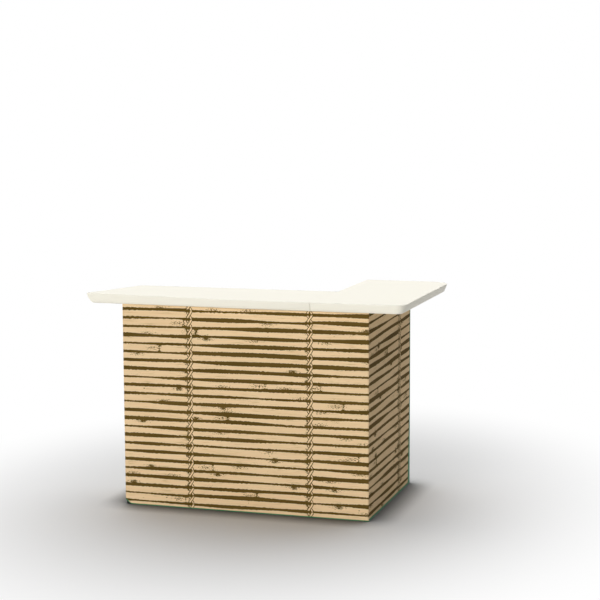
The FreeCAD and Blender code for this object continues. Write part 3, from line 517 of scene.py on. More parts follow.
def boardMesh(name, corners, seamSide, steepSides, pegs, brackets, sizes):
    # rings of the rim from the top round the arris, down the side and under, then the holes underneath;
    # a side has the number of the corner it starts from
    top = cadBox[1].z / mm
    bottomDepth = sizes["rim"][-1][1]
    opens = sizes["seamBottomGap"] - sizes["seamTopGap"]
    levels = sizes["rim"] + [(sizes["undersideInset"], bottomDepth)]
    work = bmesh.new()
    rings = []
    for level, (inset, depth) in enumerate(levels):
        gap = sizes["seamTopGap"] + opens * (depth / bottomDepth) ** sizes["seamCurve"]
        insets = [inset * (sizes["steepness"] if side in steepSides else 1) for side in range(len(corners))]
        insets[seamSide] = gap / 2 - sizes["cadSeamHalf"] if level else inset / 3
        ring = []
        for point in roundedOutline(corners, insets, sizes["leastRadius"]):
            deeper = sizes["tipRimExtra"] * smoothStep((sizes["tipRimStart"] - point.x) / sizes["tipRimRun"])
            if level == len(levels) - 1:
                deeper = 0
            ring.append(work.verts.new((point.x * mm, point.y * mm, (top - depth * (1 + deeper)) * mm)))
        rings.append(ring)
    for outer, inner in zip(rings, rings[1:]):
        for i in range(len(outer)):
            j = (i + 1) % len(outer)
            work.faces.new((outer[j], outer[i], inner[i], inner[j]))
    under = top - bottomDepth
    outline = [Vector((vertex.co.x, vertex.co.y)) / mm for vertex in rings[-1]]
    mouths = [blindHole(work, peg, under, sizes["socket"], sizes["socketSpokes"]) for peg in pegs]
    mouths += [blindHole(work, place, under, sizes["pinch"], sizes["pinchSpokes"])
               for place in pinchPlaces(outline, brackets, sizes)]
    # the flat top and the flat underside, in triangles round the holes
    for ring, holes in ((rings[0], []), (rings[-1], mouths)):
        vertices = ring + [vertex for hole in holes for vertex in hole]
        flat = [Vector((vertex.co.x, vertex.co.y)) for vertex in vertices]
        indexOf = {vertex: index for index, vertex in enumerate(vertices)}
        holeOf = {vertex: index for index, hole in enumerate(holes) for vertex in hole}
        around = [(indexOf[first], indexOf[second])
                  for hole in holes for first, second in zip(hole, hole[1:] + hole[:1])]
        triangles, origins = delaunay_2d_cdt(flat, around, [list(range(len(ring)))], 1, 1e-7)[2:4]
        for triangle in triangles:
            cap = [vertices[origins[corner][0]] for corner in triangle]
            inHole = {holeOf.get(vertex) for vertex in cap}
            if len(inHole) > 1 or None in inHole:
                work.faces.new(cap)
    bmesh.ops.recalc_face_normals(work, faces=work.faces)
    return meshFrom(work, name)


def counterPlastic(colour):
    # blow-moulded HDPE: a waxy cream plastic with a soft, low gloss, a sand grain from the mould (really
    # 0.3 mm, drawn at 2.4 mm so that it shows) and faint waves where the hollow wall cooled
    material, tree, shader = startMaterial("creamHdpe", {
        "Base Color": linear(colour), "Roughness": 0.5, "IOR": 1.54, "Specular IOR Level": 0.4})
    place = addNode(tree, "ShaderNodeTexCoord").outputs["Object"]
    grain = addNode(tree, "ShaderNodeTexNoise", None, {
        "Vector": place, "Scale": grains(2.4), "Detail": 3, "Roughness": 0.6})
    waves = addNode(tree, "ShaderNodeTexNoise", None, {
        "Vector": place, "Scale": grains(140), "Detail": 2, "Roughness": 0.5})
    grainBump = addNode(tree, "ShaderNodeBump", None, {
        "Height": grain, "Strength": 0.25, "Distance": 0.0006})
    waveBump = addNode(tree, "ShaderNodeBump", None, {
        "Height": waves, "Strength": 0.12, "Distance": 0.004, "Normal": grainBump})
    tree.links.new(waveBump.outputs[0], shader.inputs["Normal"])
    return material


def pegPlaces(sizes):
    # the pegs that each board sits on, read from the brackets that carry them
    half = sizes["bracketSide"] / 2
    seamFront, seamRear = boxInMm("seam_bracket_front"), boxInMm("seam_bracket_rear")
    seamPost = (seamFront[0].x + seamFront[1].x) / 2
    corner = [(seamPost + sizes["pegReach"], seamFront[0].y + half)]
    for node in ("guide_bracket", "outer_bracket_front", "outer_bracket_rear"):
        low = boxInMm(node)[0]
        corner.append((low.x + half, low.y + half))
    main = [(seamPost - sizes["pegReach"], low + half) for low in (seamFront[0].y, seamRear[0].y)]
    return {"counter_main": main, "counter_corner": corner}


def makeCounter(sizes):
    plastic = counterPlastic(sizes["colour"])
    pegs = pegPlaces(sizes)
    brackets = [corners for node in frame["nodes"] if "bracket" in node for corners in solidBoxes(node)]
    halfWidth = (cadBox[1].x - cadBox[0].x) / 2 / mm
    halfDepth = (cadBox[1].y - cadBox[0].y) / 2 / mm
    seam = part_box("counter_main")[1].x / mm
    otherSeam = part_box("counter_corner")[0].x / mm
    front, back, left, right = -halfDepth, halfDepth, -halfWidth, halfWidth
    armBack = front + sizes["frontArm"]
    inner = right - sizes["returnArm"]
    seamRadius = sizes["seamCornerRadius"]
    mainCorners = [
        (left, front + sizes["tipSetback"], sizes["tipRadius"], 8),
        (sizes["bendPlace"], front, sizes["bendRadius"], 16),
        (seam, front, seamRadius, 3),
        (seam, armBack, seamRadius, 3),
        (left + sizes["endSlant"], armBack, sizes["endRadius"], 8),
    ]
    cornerCorners = [
        (otherSeam, front, seamRadius, 3),
        (right, front, sizes["frontCornerRadius"], 14),
        (right, back, sizes["backCornerRadius"], 20),
        (inner, back, sizes["endRadius"], 8),
        (inner, armBack, sizes["innerRadius"], 8),
        (otherSeam, armBack, seamRadius, 3),
    ]
    boards = (("counter_main", mainCorners, 2, (3,)), ("counter_corner", cornerCorners, 5, (3, 4)))
    for node, corners, seamSide, steepSides in boards:
        mesh = boardMesh(node, corners, seamSide, steepSides, pegs[node], brackets, sizes)
        board = makeObject(node + "_board", mesh, [plastic], sizes["smoothAngle"])
        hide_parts(node)
        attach(board, node)


makeCounter(counter)
print("stage: counter boards")

# Skirt: polyester cloth, printed with bamboo slats that cord lashes together

skirt = {
    "radius": 4.5,  # of the corners, and into how many steps they are cut
    "radiusSteps": 6,
    "step": 9.0,  # the cloth's columns are at most this far apart, and then its rows
    "rowStep": 12.0,
    "thick": 0.7,
    "swell": 1.6,
    "swellRun": 120,  # the length over which the swell grows from where the cloth is held
    "swellBase": 0.55,
    # its waves, broad and fine: grains per mm along and up, seed, share
    "swellWaves": ((0.0055, 0.0031, 4.2, 0.45), (0.021, 0.004, 9.7, 0.22)),
    "cornerCutFront": 27,
    "cornerCutLeft": 62,
    "cornerCutHigh": 22,
    "hemLow": 1.2,
    "frontHemTape": 4,
    "rightHemTape": 11,
    "sideTape": 13,
    "footTape": 44,  # the side tape's width at the floor, and the height up to which it narrows
    "footTapeHigh": 480,
    "firstRise": 10,  # where the side tape's stations are above the foot
    "riseStep": 40,
    "tapeProud": 0.5,
    "tapeSmoothAngle": 50,
    "tapeColours": ("#30744A", "#3C8456"),
    "greenThread": "#235C39",
    "tanThread": "#C9A877",
    "stitch": (3.6, 2.7, 0.7, 0.5),  # from one to the next, then a stitch's length, width and height
    "tapeStitchIn": 1.3,
    "tapeStitchProud": 0.08,
    "clothStitchProud": 0.1,
    "topRows": (1013, 975),
    "seamStitch": 6,  # an upright seam's distance from the corner or edge beside it
    "seamEnds": (22, 4),  # how far above the hem it starts, and below the top it ends
    "seamStep": 12,
    "frontKeep": 0.388,  # the share of its length that a sheet keeps when the frame is folded
    "rightKeep": 0.537,
    "frontLashings": (354, 973),
    "sideLashing": 606,
    "leftLashing": -214,
    # each sheet's print: how far it is lifted at the start and at the end, fanned out, its lashing's width
    "frontPrint": (-1.8, 6.5, 0, 1),
    "rightPrint": (12.5, 12.5, 0.025, 1.7),
}


def clothPath(corners, sizes):
    # (x, y, along) down a path of straight runs with rounded corners; along is the distance on the cloth
    points = [Vector(corner) for corner in corners]
    route = [points[0]]
    for i in range(1, len(points) - 1):
        before = (points[i] - points[i - 1]).normalized()
        after = (points[i + 1] - points[i]).normalized()
        route += roundedCorner(points[i], before, after, sizes["radius"], sizes["radiusSteps"])
    route.append(points[-1])
    path = [(route[0].x, route[0].y, 0.0)]
    along = 0.0
    for first, second in zip(route, route[1:]):
        length = (second - first).length
        pieces = max(1, math.ceil(length / sizes["step"]))
        for part in range(1, pieces + 1):
            place = first.lerp(second, part / pieces)
            path.append((place.x, place.y, along + length * part / pieces))
        along += length
    return path


def clothSwell(along, height, edges, sizes):
    # the cloth stands a little off the frame between the places where it is held, never at its corners
    flat = smoothStep(min(abs(along - edge) for edge in edges) / sizes["swellRun"])
    bulge = sizes["swellBase"]
    for perAlong, perHeight, seed, share in sizes["swellWaves"]:
        bulge += share * noise.noise(Vector((along * perAlong, height * perHeight, seed)))
    return sizes["swell"] * (flat * bulge)


def outwardAt(path, index):
    before = path[max(index - 1, 0)]
    after = path[min(index + 1, len(path) - 1)]
    way = Vector((after[0] - before[0], after[1] - before[1], 0)).normalized()
    return Vector((way.y, -way.x, 0))


def hemLow(along, sizes):
    # the hem's height: level, and cut up at the front-left corner
    wide = sizes["cornerCutFront"] if along > 0 else sizes["cornerCutLeft"]
    return sizes["hemLow"] + sizes["cornerCutHigh"] * max(0, 1 - abs(along) / wide)


def clothPoint(panel, index, height, sizes, proud=0.0):
    # a point on the outer face of the cloth, or a little proud of it
    x, y, distance = panel["path"][index]
    swell = clothSwell(panel["start"] + distance, height, panel["edges"], sizes)
    return Vector((x, y, height)) + outwardAt(panel["path"], index) * (swell + proud)


def skirtMesh(name, panel, sizes):
    # a grid of cloth; the print map holds metres along and up it, the lashing map metres from the nearest
    # lashing and how many lashings lie to the left
    path, lashings, top = panel["path"], panel["lashings"], panel["top"]
    startLift, endLift, fan, lashingWide = panel["print"]
    rows = math.ceil((top - sizes["hemLow"]) / sizes["rowStep"])
    work = bmesh.new()
    printMap = work.loops.layers.uv.new("print")
    lashMap = work.loops.layers.uv.new("lashing")
    grid = []
    for index in range(len(path)):
        along = panel["start"] + path[index][2]
        low = hemLow(along, sizes)
        heights = [low + (top - low) * row / rows for row in range(rows + 1)]
        grid.append([(work.verts.new(clothPoint(panel, index, height, sizes) * mm), along, height)
                     for height in heights])
    for left, right in zip(grid, grid[1:]):
        middle = (left[0][1] + right[0][1]) / 2
        section = sum(1 for lashing in lashings if lashing < middle)
        nearest = min(lashings, key=lambda lashing: abs(lashing - middle))
        for row in range(rows):
            corners = (left[row], right[row], right[row + 1], left[row + 1])
            face = work.faces.new([corner[0] for corner in corners])
            for loop, corner in zip(face.loops, corners):
                along, height = corner[1:]
                share = (along - panel["start"]) / path[-1][2]
                lift = startLift + (endLift - startLift) * share
                loop[printMap].uv = (along * mm, (height * (1 - fan * share) - lift) * mm)
                loop[lashMap].uv = ((along - nearest) / lashingWide * mm, section)
    return meshFrom(work, name)


bambooPrint = {
    "cream": "#EBCFA5",
    "fibre": "#DDBD90",
    "streak": "#A98D57",
    "brown": "#574418",
    "worn": "#604C1F",
    "slatPitch": 42.2,
    "firstSlat": 0.493,  # where in a slat the print's height starts, as a share of it
    "gapWander": 13,  # how far a gap's middle wanders, up and down together
    "edgeRoughness": 6.5,
    "inkEdge": 0.4,  # half the width over which ink ends
    # along a gap, each spacing may hold one knot: a smudge in this share of them, scattered flecks in more;
    # each one's half length and half height, how far off the gap it lies, and which blots become flecks
    "knotSpacing": 290,
    "knotShare": 0.14,
    "scatterShare": 0.42,
    "knotSmudge": (27, 24),
    "knotScatter": (62, 17),
    "knotOff": 2,
    "fleckInk": (0.68, 0.72),
    # how much of a smudge's crowd of blots the scattered flecks have, and the flecks beside a joint; how much
    # a crowd adds to the blots, and where at its rim they end
    "scatterCrowd": 0.5,
    "jointCrowd": 0.45,
    "crowdGain": 0.5,
    "crowdRim": (0.02, 0.08),
    # along a slat, each spacing may hold one joint: half its width, how near a gap it flares, by how much
    # and by what power, how ragged it is, its flecks' half length and half height, how far left they are
    "jointSpacing": 310,
    "jointShare": 0.13,
    "jointHalf": (-1.5, 7),
    "jointFlare": (8, 15, 3),
    "jointTatter": 36,
    "jointFlecks": (62, 15),
    "flecksLeft": 34,
    # places for dots, per mm along and up; the share of them left empty, and the dots' size
    "dotsPerMm": (0.009, 0.017),
    "dotsFrom": 0.72,
    "dotSize": 0.13,
    # the lashing's strands: how far they swing to either side, half the width of the one on top and of
    # the one under it, how ragged they are, and how wide their dark outline is
    "strandSwing": 9.8,
    "strandHalf": (4.6, 3.4),
    "strandShake": 6,
    "outline": 4.4,
    # the dark knot over each gap: half its width and height, how far left it sits, how its place varies, by
    # what share it is bigger or smaller, how ragged it is, and over which share of it the ink ends
    "lashingKnot": (25, 25),
    "lashingKnotLeft": 6,
    "lashingKnotWander": (-4, 4),
    "lashingKnotLess": (-0.12, 0.3),
    "lashingKnotRagged": 2.2,
    "lashingKnotRim": (0.9, 1.0),
    # how far above or below a gap the strands show again, and how that varies: raggedly, with the distance
    # to the right, and from knot to knot
    "strandEnd": (5.5, 9.0),
    "strandEndShake": 1.4,
    "strandEndRight": 0.45,
    "strandEndWander": (-3, 3),
    # noise over the cloth, most of it drawn out along the slats: grains per mm along and up, seed, detail
    "noises": {
        "gapEdges": (0.075, 0.16, 12.9, 3),
        "blots": (0.11, 0.26, 23.4, 3),
        "tatter": (0.14, 0.14, 81.2, 3),
        "streaks": (0.011, 0.38, 61.3, 3),
        "fibres": (0.005, 0.8, 5.5, 4),
        "tone": (0.002, 0.02, 71.5, 1),
    },
    # noise along each gap, its own for every gap: grains per mm, seed
    "gapNoises": {
        "wander": (0.0013, 3.1),
        "gapWidth": (0.0021, 51.7),
        "raggedness": (0.008, 88.2),
        "streakPlace": (0.006, 33.9),
    },
    # what the noises do: the noise, the two values between which it acts, and what it gives at each of them
    "effects": {
        "halfGap": ("gapWidth", 0.28, 0.72, 3.8, 11.3),
        "raggedness": ("raggedness", 0.35, 0.7, 0.35, 1.6),
        "streaks": ("streaks", 0.58, 0.68, 0.0, 0.6),
        "streakPlaces": ("streakPlace", 0.44, 0.62, 0.0, 1.0),
        "fibres": ("fibres", 0.35, 0.7, 0.0, 0.55),
        "clouds": ("tone", 0.4, 0.7, 0.0, 0.3),
        "wear": ("tone", 0.35, 0.65, 0.0, 1.0),
    },
}

# the reverse of the cloth: the same print, as faint as it shows through
printReverse = dict(
    bambooPrint, cream="#D9CBB0", fibre="#D3C4A8", streak="#C9B999", brown="#B5A482", worn="#BAA988")


def printedCloth(name, sizes):
    # plain-woven polyester, dye-printed: matt, with ragged ink edges, no gloss and only a trace of the weave
    material, tree, shader = startMaterial(name, {
        "Roughness": 0.88, "IOR": 1.5, "Specular IOR Level": 0.12})
    inkEdge = sizes["inkEdge"]

    def put(kind, *inputs):
        # any node in this material, its inputs in their order
        return addNode(tree, kind if kind.isupper() else "ShaderNode" + kind, None, inputs)

    def centred(pattern, size):
        # a pattern from 0 to 1 made to swing about 0, this far from end to end
        return put("MULTIPLY", put("SUBTRACT", pattern, 0.5), size)

    def threeDice(*seeds):
        # three random numbers from 0 to 1, the same wherever the seeds are the same
        dice = put("TexWhiteNoise", put("CombineXYZ", *seeds))
        return list(put("SeparateColor", dice.outputs["Color"]).outputs)

    def spot(across, upward, halves, share):
        # an ellipse that fades from the share in its middle to nothing at its rim
        parts = [put("POWER", put("DIVIDE", off, half), 2) for off, half in zip((across, upward), halves)]
        inside = put("SUBTRACT", 1, put("SQRT", put("ADD", *parts)))
        return put("MULTIPLY", put("MAXIMUM", inside, 0), share)

    def castAlong(row, spacing, shift, seed):
        # one place in each spacing along a row, by dice in its middle half: how far off it is, two more dice
        stretch = put("MULTIPLY_ADD", along, 1 / spacing, put("MULTIPLY", row, shift))
        rolls = threeDice(put("FLOOR", stretch), row, seed)
        place = put("MULTIPLY_ADD", rolls[0], 0.5, 0.25)
        return [put("MULTIPLY", put("SUBTRACT", put("FRACT", stretch), place), spacing)] + rolls[1:3]

    def drawnOut(perMm, seed, upward, detail, roughness):
        # noise along the slats, new between each two lashings; upward is what varies it across them
        place = put("CombineXYZ", put("MULTIPLY_ADD", along, perMm, put("ADD", sectionShift, seed)), upward)
        return addNode(tree, "ShaderNodeTexNoise", {"noise_dimensions": "2D"}, {
            "Vector": place, "Scale": 1.0, "Detail": detail, "Roughness": roughness})

    printPlace, lashPlace = [put("SeparateXYZ", addNode(tree, "ShaderNodeUVMap", {"uv_map": title})).outputs
                             for title in ("print", "lashing")]
    along, height, lashing = [put("MULTIPLY", metres, 1 / mm)
                              for metres in (printPlace[0], printPlace[1], lashPlace[0])]
    section = lashPlace[1]
    # here and below, an odd number such as this keeps rows and stretches of the print from looking alike
    sectionShift = put("MULTIPLY", section, 37.7)
    rowPlace = put("MULTIPLY_ADD", height, 1 / sizes["slatPitch"], sizes["firstSlat"])
    gapRow = put("ROUND", rowPlace)
    fromRow = put("MULTIPLY", put("SUBTRACT", rowPlace, gapRow), sizes["slatPitch"])
    noises = {}
    for title, (perMm, upPerMm, seed, detail) in sizes["noises"].items():
        noises[title] = drawnOut(perMm, seed, put("MULTIPLY", height, upPerMm), detail, 0.6)
    for title, (perMm, seed) in sizes["gapNoises"].items():
        noises[title] = drawnOut(perMm, seed, put("MULTIPLY_ADD", gapRow, 7.77, seed), 1.0, 0.5)
    effects = {title: put("MapRange", noises[source], *ends)
               for title, (source, *ends) in sizes["effects"].items()}

    # the gaps between the slats: each is nearly straight, and thickens or thins along the slat
    fromGap = put("SUBTRACT", fromRow, centred(noises["wander"], sizes["gapWander"]))
    offGap = put("ABSOLUTE", fromGap)
    halfGap = effects["halfGap"]
    ragged = put("MULTIPLY", centred(noises["gapEdges"], effects["raggedness"]), sizes["edgeRoughness"])
    gapInk = put("MapRange", put("SUBTRACT", put("ADD", halfGap, ragged), offGap), -inkEdge, inkEdge)

    # the knots: ragged smudges with a scatter of flecks, each beside a gap
    fromKnot, knotRoll, sideRoll = castAlong(gapRow, sizes["knotSpacing"], 0.377, section)
    side = put("SIGN", put("SUBTRACT", sideRoll, 0.5))
    upFromKnot = put("SUBTRACT", fromGap, put("MULTIPLY", side, put("ADD", halfGap, sizes["knotOff"])))
    smudge, scatter = [spot(fromKnot, upFromKnot, sizes[halves], put("LESS_THAN", knotRoll, sizes[share]))
                       for halves, share in (("knotSmudge", "knotShare"), ("knotScatter", "scatterShare"))]

    # the bamboo's joints: a ragged bar across a slat, flared where it meets the gaps, with flecks on its left
    slatRow = put("SUBTRACT", gapRow, put("LESS_THAN", fromGap, 0))
    fromSlat = centred(put("SUBTRACT", rowPlace, slatRow), sizes["slatPitch"])
    fromJoint, jointRoll, wideRoll = castAlong(slatRow, sizes["jointSpacing"], 0.619, 5.5)
    isJoint = put("LESS_THAN", jointRoll, sizes["jointShare"])
    flareReach, flareWide, flareCurve = sizes["jointFlare"]
    flare = put("SUBTRACT", 1, put("DIVIDE", put("SUBTRACT", offGap, halfGap), flareReach))
    flare = put("POWER", put("MAXIMUM", flare, 0), flareCurve)
    barHalf = put("MULTIPLY_ADD", flare, flareWide, put("MapRange", wideRoll, 0, 1, *sizes["jointHalf"]))
    bar = put("ADD", barHalf, centred(noises["tatter"], sizes["jointTatter"]))
    bar = put("MapRange", put("SUBTRACT", bar, put("ABSOLUTE", fromJoint)), -inkEdge, inkEdge)
    jointInk = put("MULTIPLY", bar, isJoint)
    flecks = spot(put("ADD", fromJoint, sizes["flecksLeft"]), fromSlat, sizes["jointFlecks"], isJoint)
    crowd = smudge
    for fewer, share in ((flecks, sizes["jointCrowd"]), (scatter, sizes["scatterCrowd"])):
        crowd = put("MAXIMUM", crowd, put("MULTIPLY", fewer, share))
    blots = put("MULTIPLY_ADD", crowd, sizes["crowdGain"], noises["blots"])
    knotInk = put("MapRange", blots, *sizes["fleckInk"])
    knotInk = put("MULTIPLY", knotInk, put("MapRange", crowd, *sizes["crowdRim"]))

    # small dots here and there, and thin streaks of weaker ink beside some gaps
    dotPlace = [put("MULTIPLY", way, perMm) for way, perMm in zip((along, height), sizes["dotsPerMm"])]
    dots = addNode(tree, "ShaderNodeTexVoronoi", {"voronoi_dimensions": "2D"}, {
        "Vector": put("CombineXYZ", *dotPlace), "Scale": 1.0})
    dotRoll = put("SUBTRACT", put("SeparateColor", dots.outputs["Color"]), sizes["dotsFrom"])
    dotSize = put("MULTIPLY", put("MAXIMUM", dotRoll, 0), sizes["dotSize"])
    dotInk = put("LESS_THAN", dots.outputs["Distance"], dotSize)
    streakInk = put("MULTIPLY", effects["streaks"], effects["streakPlaces"])

    # the lashing: two outlined strands that cross on every slat, one over the other, and a knot at every gap
    rolls = threeDice(gapRow, section, 0.37)
    shake = centred(noises["blots"], sizes["strandShake"])
    swing = put("COSINE", put("MULTIPLY", put("FRACT", rowPlace), math.pi))
    swing = put("MULTIPLY", swing, sizes["strandSwing"])
    cores, outlines = [], []
    for operation, half in zip(("ADD", "SUBTRACT"), sizes["strandHalf"]):
        fromStrand = put("ADD", put("ABSOLUTE", put(operation, lashing, swing)), shake)
        for inks, reach in ((cores, half), (outlines, half + sizes["outline"])):
            inks.append(put("MapRange", fromStrand, reach - inkEdge, reach + inkEdge, 1.0, 0.0))
    underCore = put("MULTIPLY", cores[1], put("SUBTRACT", 1, outlines[0]))
    strands = put("MAXIMUM", cores[0], underCore)
    parts = []
    fromMiddle = (put("ADD", lashing, sizes["lashingKnotLeft"]), fromRow)
    for off, half, roll in zip(fromMiddle, sizes["lashingKnot"], rolls):
        off = put("ADD", off, put("MapRange", roll, 0, 1, *sizes["lashingKnotWander"]))
        parts.append(put("DIVIDE", put("ABSOLUTE", off), half))
    cordKnot = put("ADD", put("ADD", *parts), put("MapRange", rolls[2], 0, 1, *sizes["lashingKnotLess"]))
    cordKnot = put("ADD", centred(noises["blots"], sizes["lashingKnotRagged"]), cordKnot)
    knotCover = put("MapRange", cordKnot, *sizes["lashingKnotRim"], 1.0, 0.0)
    lashingInk = put("MAXIMUM", put("MAXIMUM", *outlines), knotCover)
    # the strands end under the knot, and nearer to the gap the farther right they are
    outOfKnot = put("ABSOLUTE", fromRow)
    for part in (put("MULTIPLY", shake, sizes["strandEndShake"]),
                 put("MULTIPLY", put("MAXIMUM", lashing, 0), sizes["strandEndRight"]),
                 put("MapRange", rolls[2], 0, 1, *sizes["strandEndWander"])):
        outOfKnot = put("ADD", outOfKnot, part)
    strands = put("MULTIPLY", strands, put("MapRange", outOfKnot, *sizes["strandEnd"]))

    # the slats themselves, dyed cream with faint fibres, and all the ink over them, left open at the strands
    ink = gapInk
    for other in (knotInk, dotInk, lashingInk, jointInk):
        ink = put("MAXIMUM", ink, other)
    ink = put("MULTIPLY", ink, put("SUBTRACT", 1, strands))
    colour, fibre, streak, brown, worn = [
        linear(sizes[title]) for title in ("cream", "fibre", "streak", "brown", "worn")]
    inkColour = addNode(tree, "ShaderNodeMix", {"data_type": "RGBA"}, {
        "Factor": effects["wear"], 6: brown, 7: worn})
    for share, over in ((effects["fibres"], fibre), (effects["clouds"], fibre), (streakInk, streak),
                        (ink, inkColour.outputs[2])):
        colour = addNode(tree, "ShaderNodeMix", {"data_type": "RGBA"}, {
            "Factor": share, 6: colour, 7: over}).outputs[2]
    tree.links.new(colour, shader.inputs["Base Color"])

    # the weave, drawn at 2 mm because the real half millimetre wouldn't show
    warp, weft = [put("SINE", put("MULTIPLY", way, math.pi)) for way in (along, height)]
    weave = addNode(tree, "ShaderNodeBump", None, {
        "Height": put("MULTIPLY", warp, weft), "Strength": 0.15, "Distance": 0.0002})
    tree.links.new(weave.outputs[0], shader.inputs["Normal"])
    return material


def greenTape(colours):
    # woven polyester binding tape: a dull sheen, and ribs across it (really 1 mm apart, drawn at 1.8 mm)
    material, tree, shader = startMaterial("greenBindingTape", {
        "Roughness": 0.72, "IOR": 1.5, "Specular IOR Level": 0.3, "Sheen Weight": 0.15})
    place = addNode(tree, "ShaderNodeUVMap", {"uv_map": "tape"})
    ribs = addNode(tree, "ShaderNodeTexWave", {"wave_type": "BANDS", "bands_direction": "X"}, {
        "Vector": place, "Scale": math.tau / 20 * grains(1.8), "Distortion": 0.6, "Detail": 1.0})
    fade = addNode(tree, "ShaderNodeTexNoise", None, {"Vector": place, "Scale": grains(33), "Detail": 3})
    colour = addNode(tree, "ShaderNodeMix", {"data_type": "RGBA"}, {
        "Factor": fade, 6: linear(colours[0]), 7: linear(colours[1])})
    bump = addNode(tree, "ShaderNodeBump", None, {
        "Height": ribs.outputs["Fac"], "Strength": 0.5, "Distance": 0.0002})
    tree.links.new(colour.outputs[2], shader.inputs["Base Color"])
    tree.links.new(bump.outputs[0], shader.inputs["Normal"])
    return material


def threadMaterial(name, colour):
    # spun polyester sewing thread: matt, with a twist 0.6 mm long
    material, tree, shader = startMaterial(name, {
        "Base Color": linear(colour), "Roughness": 0.75, "IOR": 1.5, "Specular IOR Level": 0.3})
    place = addNode(tree, "ShaderNodeTexCoord").outputs["Object"]
    twist = addNode(tree, "ShaderNodeTexNoise", None, {"Vector": place, "Scale": grains(0.6)})
    bump = addNode(tree, "ShaderNodeBump", None, {"Height": twist, "Strength": 0.4, "Distance": 0.0002})
    tree.links.new(bump.outputs[0], shader.inputs["Normal"])
    return material


def tapeSection(width, sizes):
    # (outward, inward) round the folded tape, from its outer lip over the edge to its inner lip
    out, back = sizes["tapeProud"], -sizes["thick"] - sizes["tapeProud"]
    middle = (out + back) / 2
    return [(0.0, width), (out * 0.8, width - 0.15), (out, width - 0.7), (out * 1.1, width / 2), (out, 0.4),
            (out * 0.5, -0.25), (middle, -0.45), (back * 0.7, -0.25), (back, 0.4), (back, width - 0.3),
            (-sizes["thick"], width)]


def boundTape(name, stations, sizes, material):
    # tape folded over an edge; stations: (point, outward, width) along the edge, the cloth to the left of it
    work = bmesh.new()
    tapeMap = work.loops.layers.uv.new("tape")
    rings = []
    travelled = 0.0
    stitchRun = []
    for index, (point, outward, width) in enumerate(stations):
        section = tapeSection(width, sizes)
        before = (point - stations[index - 1][0]).normalized() if index else None
        after = (stations[index + 1][0] - point).normalized() if index + 1 < len(stations) else None
        first = outward.cross(before or after)
        second = outward.cross(after or before)
        inward = (first + second) / (1 + first.dot(second))
        travelled += (point - stations[index - 1][0]).length if index else 0
        rings.append(([work.verts.new((point + outward * out + inward * deep) * mm) for out, deep in section],
                      travelled))
        stitchRun.append(point + outward * (section[2][0] + sizes["tapeStitchProud"])
                         + inward * (width - sizes["tapeStitchIn"]))
    count = len(rings[0][0])
    for (ringA, startA), (ringB, startB) in zip(rings, rings[1:]):
        for i in range(count):
            j = (i + 1) % count
            face = work.faces.new((ringA[i], ringB[i], ringB[j], ringA[j]))
            for loop, uv in zip(face.loops, ((startA, i), (startB, i), (startB, i + 1), (startA, i + 1))):
                loop[tapeMap].uv = (uv[0] * mm, uv[1] * mm)
    work.faces.new(rings[0][0])
    work.faces.new(list(reversed(rings[-1][0])))
    bmesh.ops.recalc_face_normals(work, faces=work.faces)
    return makeObject(name, meshFrom(work, name), [material], sizes["tapeSmoothAngle"]), stitchRun


def skirtPanels(sizes):
    # the two sheets: the front one goes on round the corner to the left end, the other covers the right side
    frontLow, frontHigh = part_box("skirt_front")
    left, right, front = frontLow.x / mm, frontHigh.x / mm, frontLow.y / mm
    top = frontHigh.z / mm
    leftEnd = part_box("binding_left")[1].y / mm
    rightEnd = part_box("binding_right")[1].y / mm
    width = right - left
    startFront = -(leftEnd - front)
    seamIn = sizes["seamStitch"]
    return {
        "front": {
            "path": clothPath([(left, leftEnd), (left, front), (right, front)], sizes),
            "start": startFront,
            "top": top,
            "lashings": (sizes["leftLashing"],) + sizes["frontLashings"],
            "print": sizes["frontPrint"],
            "hemTape": sizes["frontHemTape"],
            "edges": (startFront, 0, width),
            "stands": ("skirt_front", "skirt_left", "binding_front", "binding_left"),
            "joint": ("front_fold", (1, 0, 0), (right * mm, 0, 0), sizes["frontKeep"]),
            "seams": (-seamIn, seamIn, width - seamIn),
            "hookTapes": ["corner_hook_tape", "middle_hook_tape", "left_hook_tape"],
        },
        "right": {
            "path": clothPath([(right, front), (right, rightEnd)], sizes),
            "start": width,
            "top": top,
            "lashings": (width + sizes["sideLashing"],),
            "print": sizes["rightPrint"],
            "hemTape": sizes["rightHemTape"],
            "edges": (width, width + rightEnd - front),
            "stands": ("skirt_right", "binding_right"),
            "joint": ("return_fold", (0, 1, 0), (0, front * mm, 0), sizes["rightKeep"]),
            "seams": (width + seamIn,),
            "hookTapes": ["corner_hook_tape", "return_hook_tape"],
        },
    }


def boundEdges(name, panel, sizes, tape):
    # the tape is one piece along the hem and up the free edge, where it widens towards the foot
    path, top = panel["path"], panel["top"]
    hem = [(clothPoint(panel, i, hemLow(panel["start"] + path[i][2], sizes), sizes), outwardAt(path, i),
            panel["hemTape"]) for i in range(len(path))]
    foot, outward = hem[0 if name == "front" else -1][:2]
    step = sizes["riseStep"]
    rises = []
    for rise in [sizes["firstRise"]] + list(range(step, math.ceil(top - foot.z), step)):
        spread = (sizes["footTape"] - sizes["sideTape"]) * max(0, 1 - rise / sizes["footTapeHigh"])
        rises.append((foot + Vector((0, 0, rise)), outward, sizes["sideTape"] + spread))
    rises.append((Vector((foot.x, foot.y, top)), outward, sizes["sideTape"]))
    stations = list(reversed(rises)) + hem if name == "front" else hem + rises
    return boundTape(name + "Binding", stations, sizes, tape)


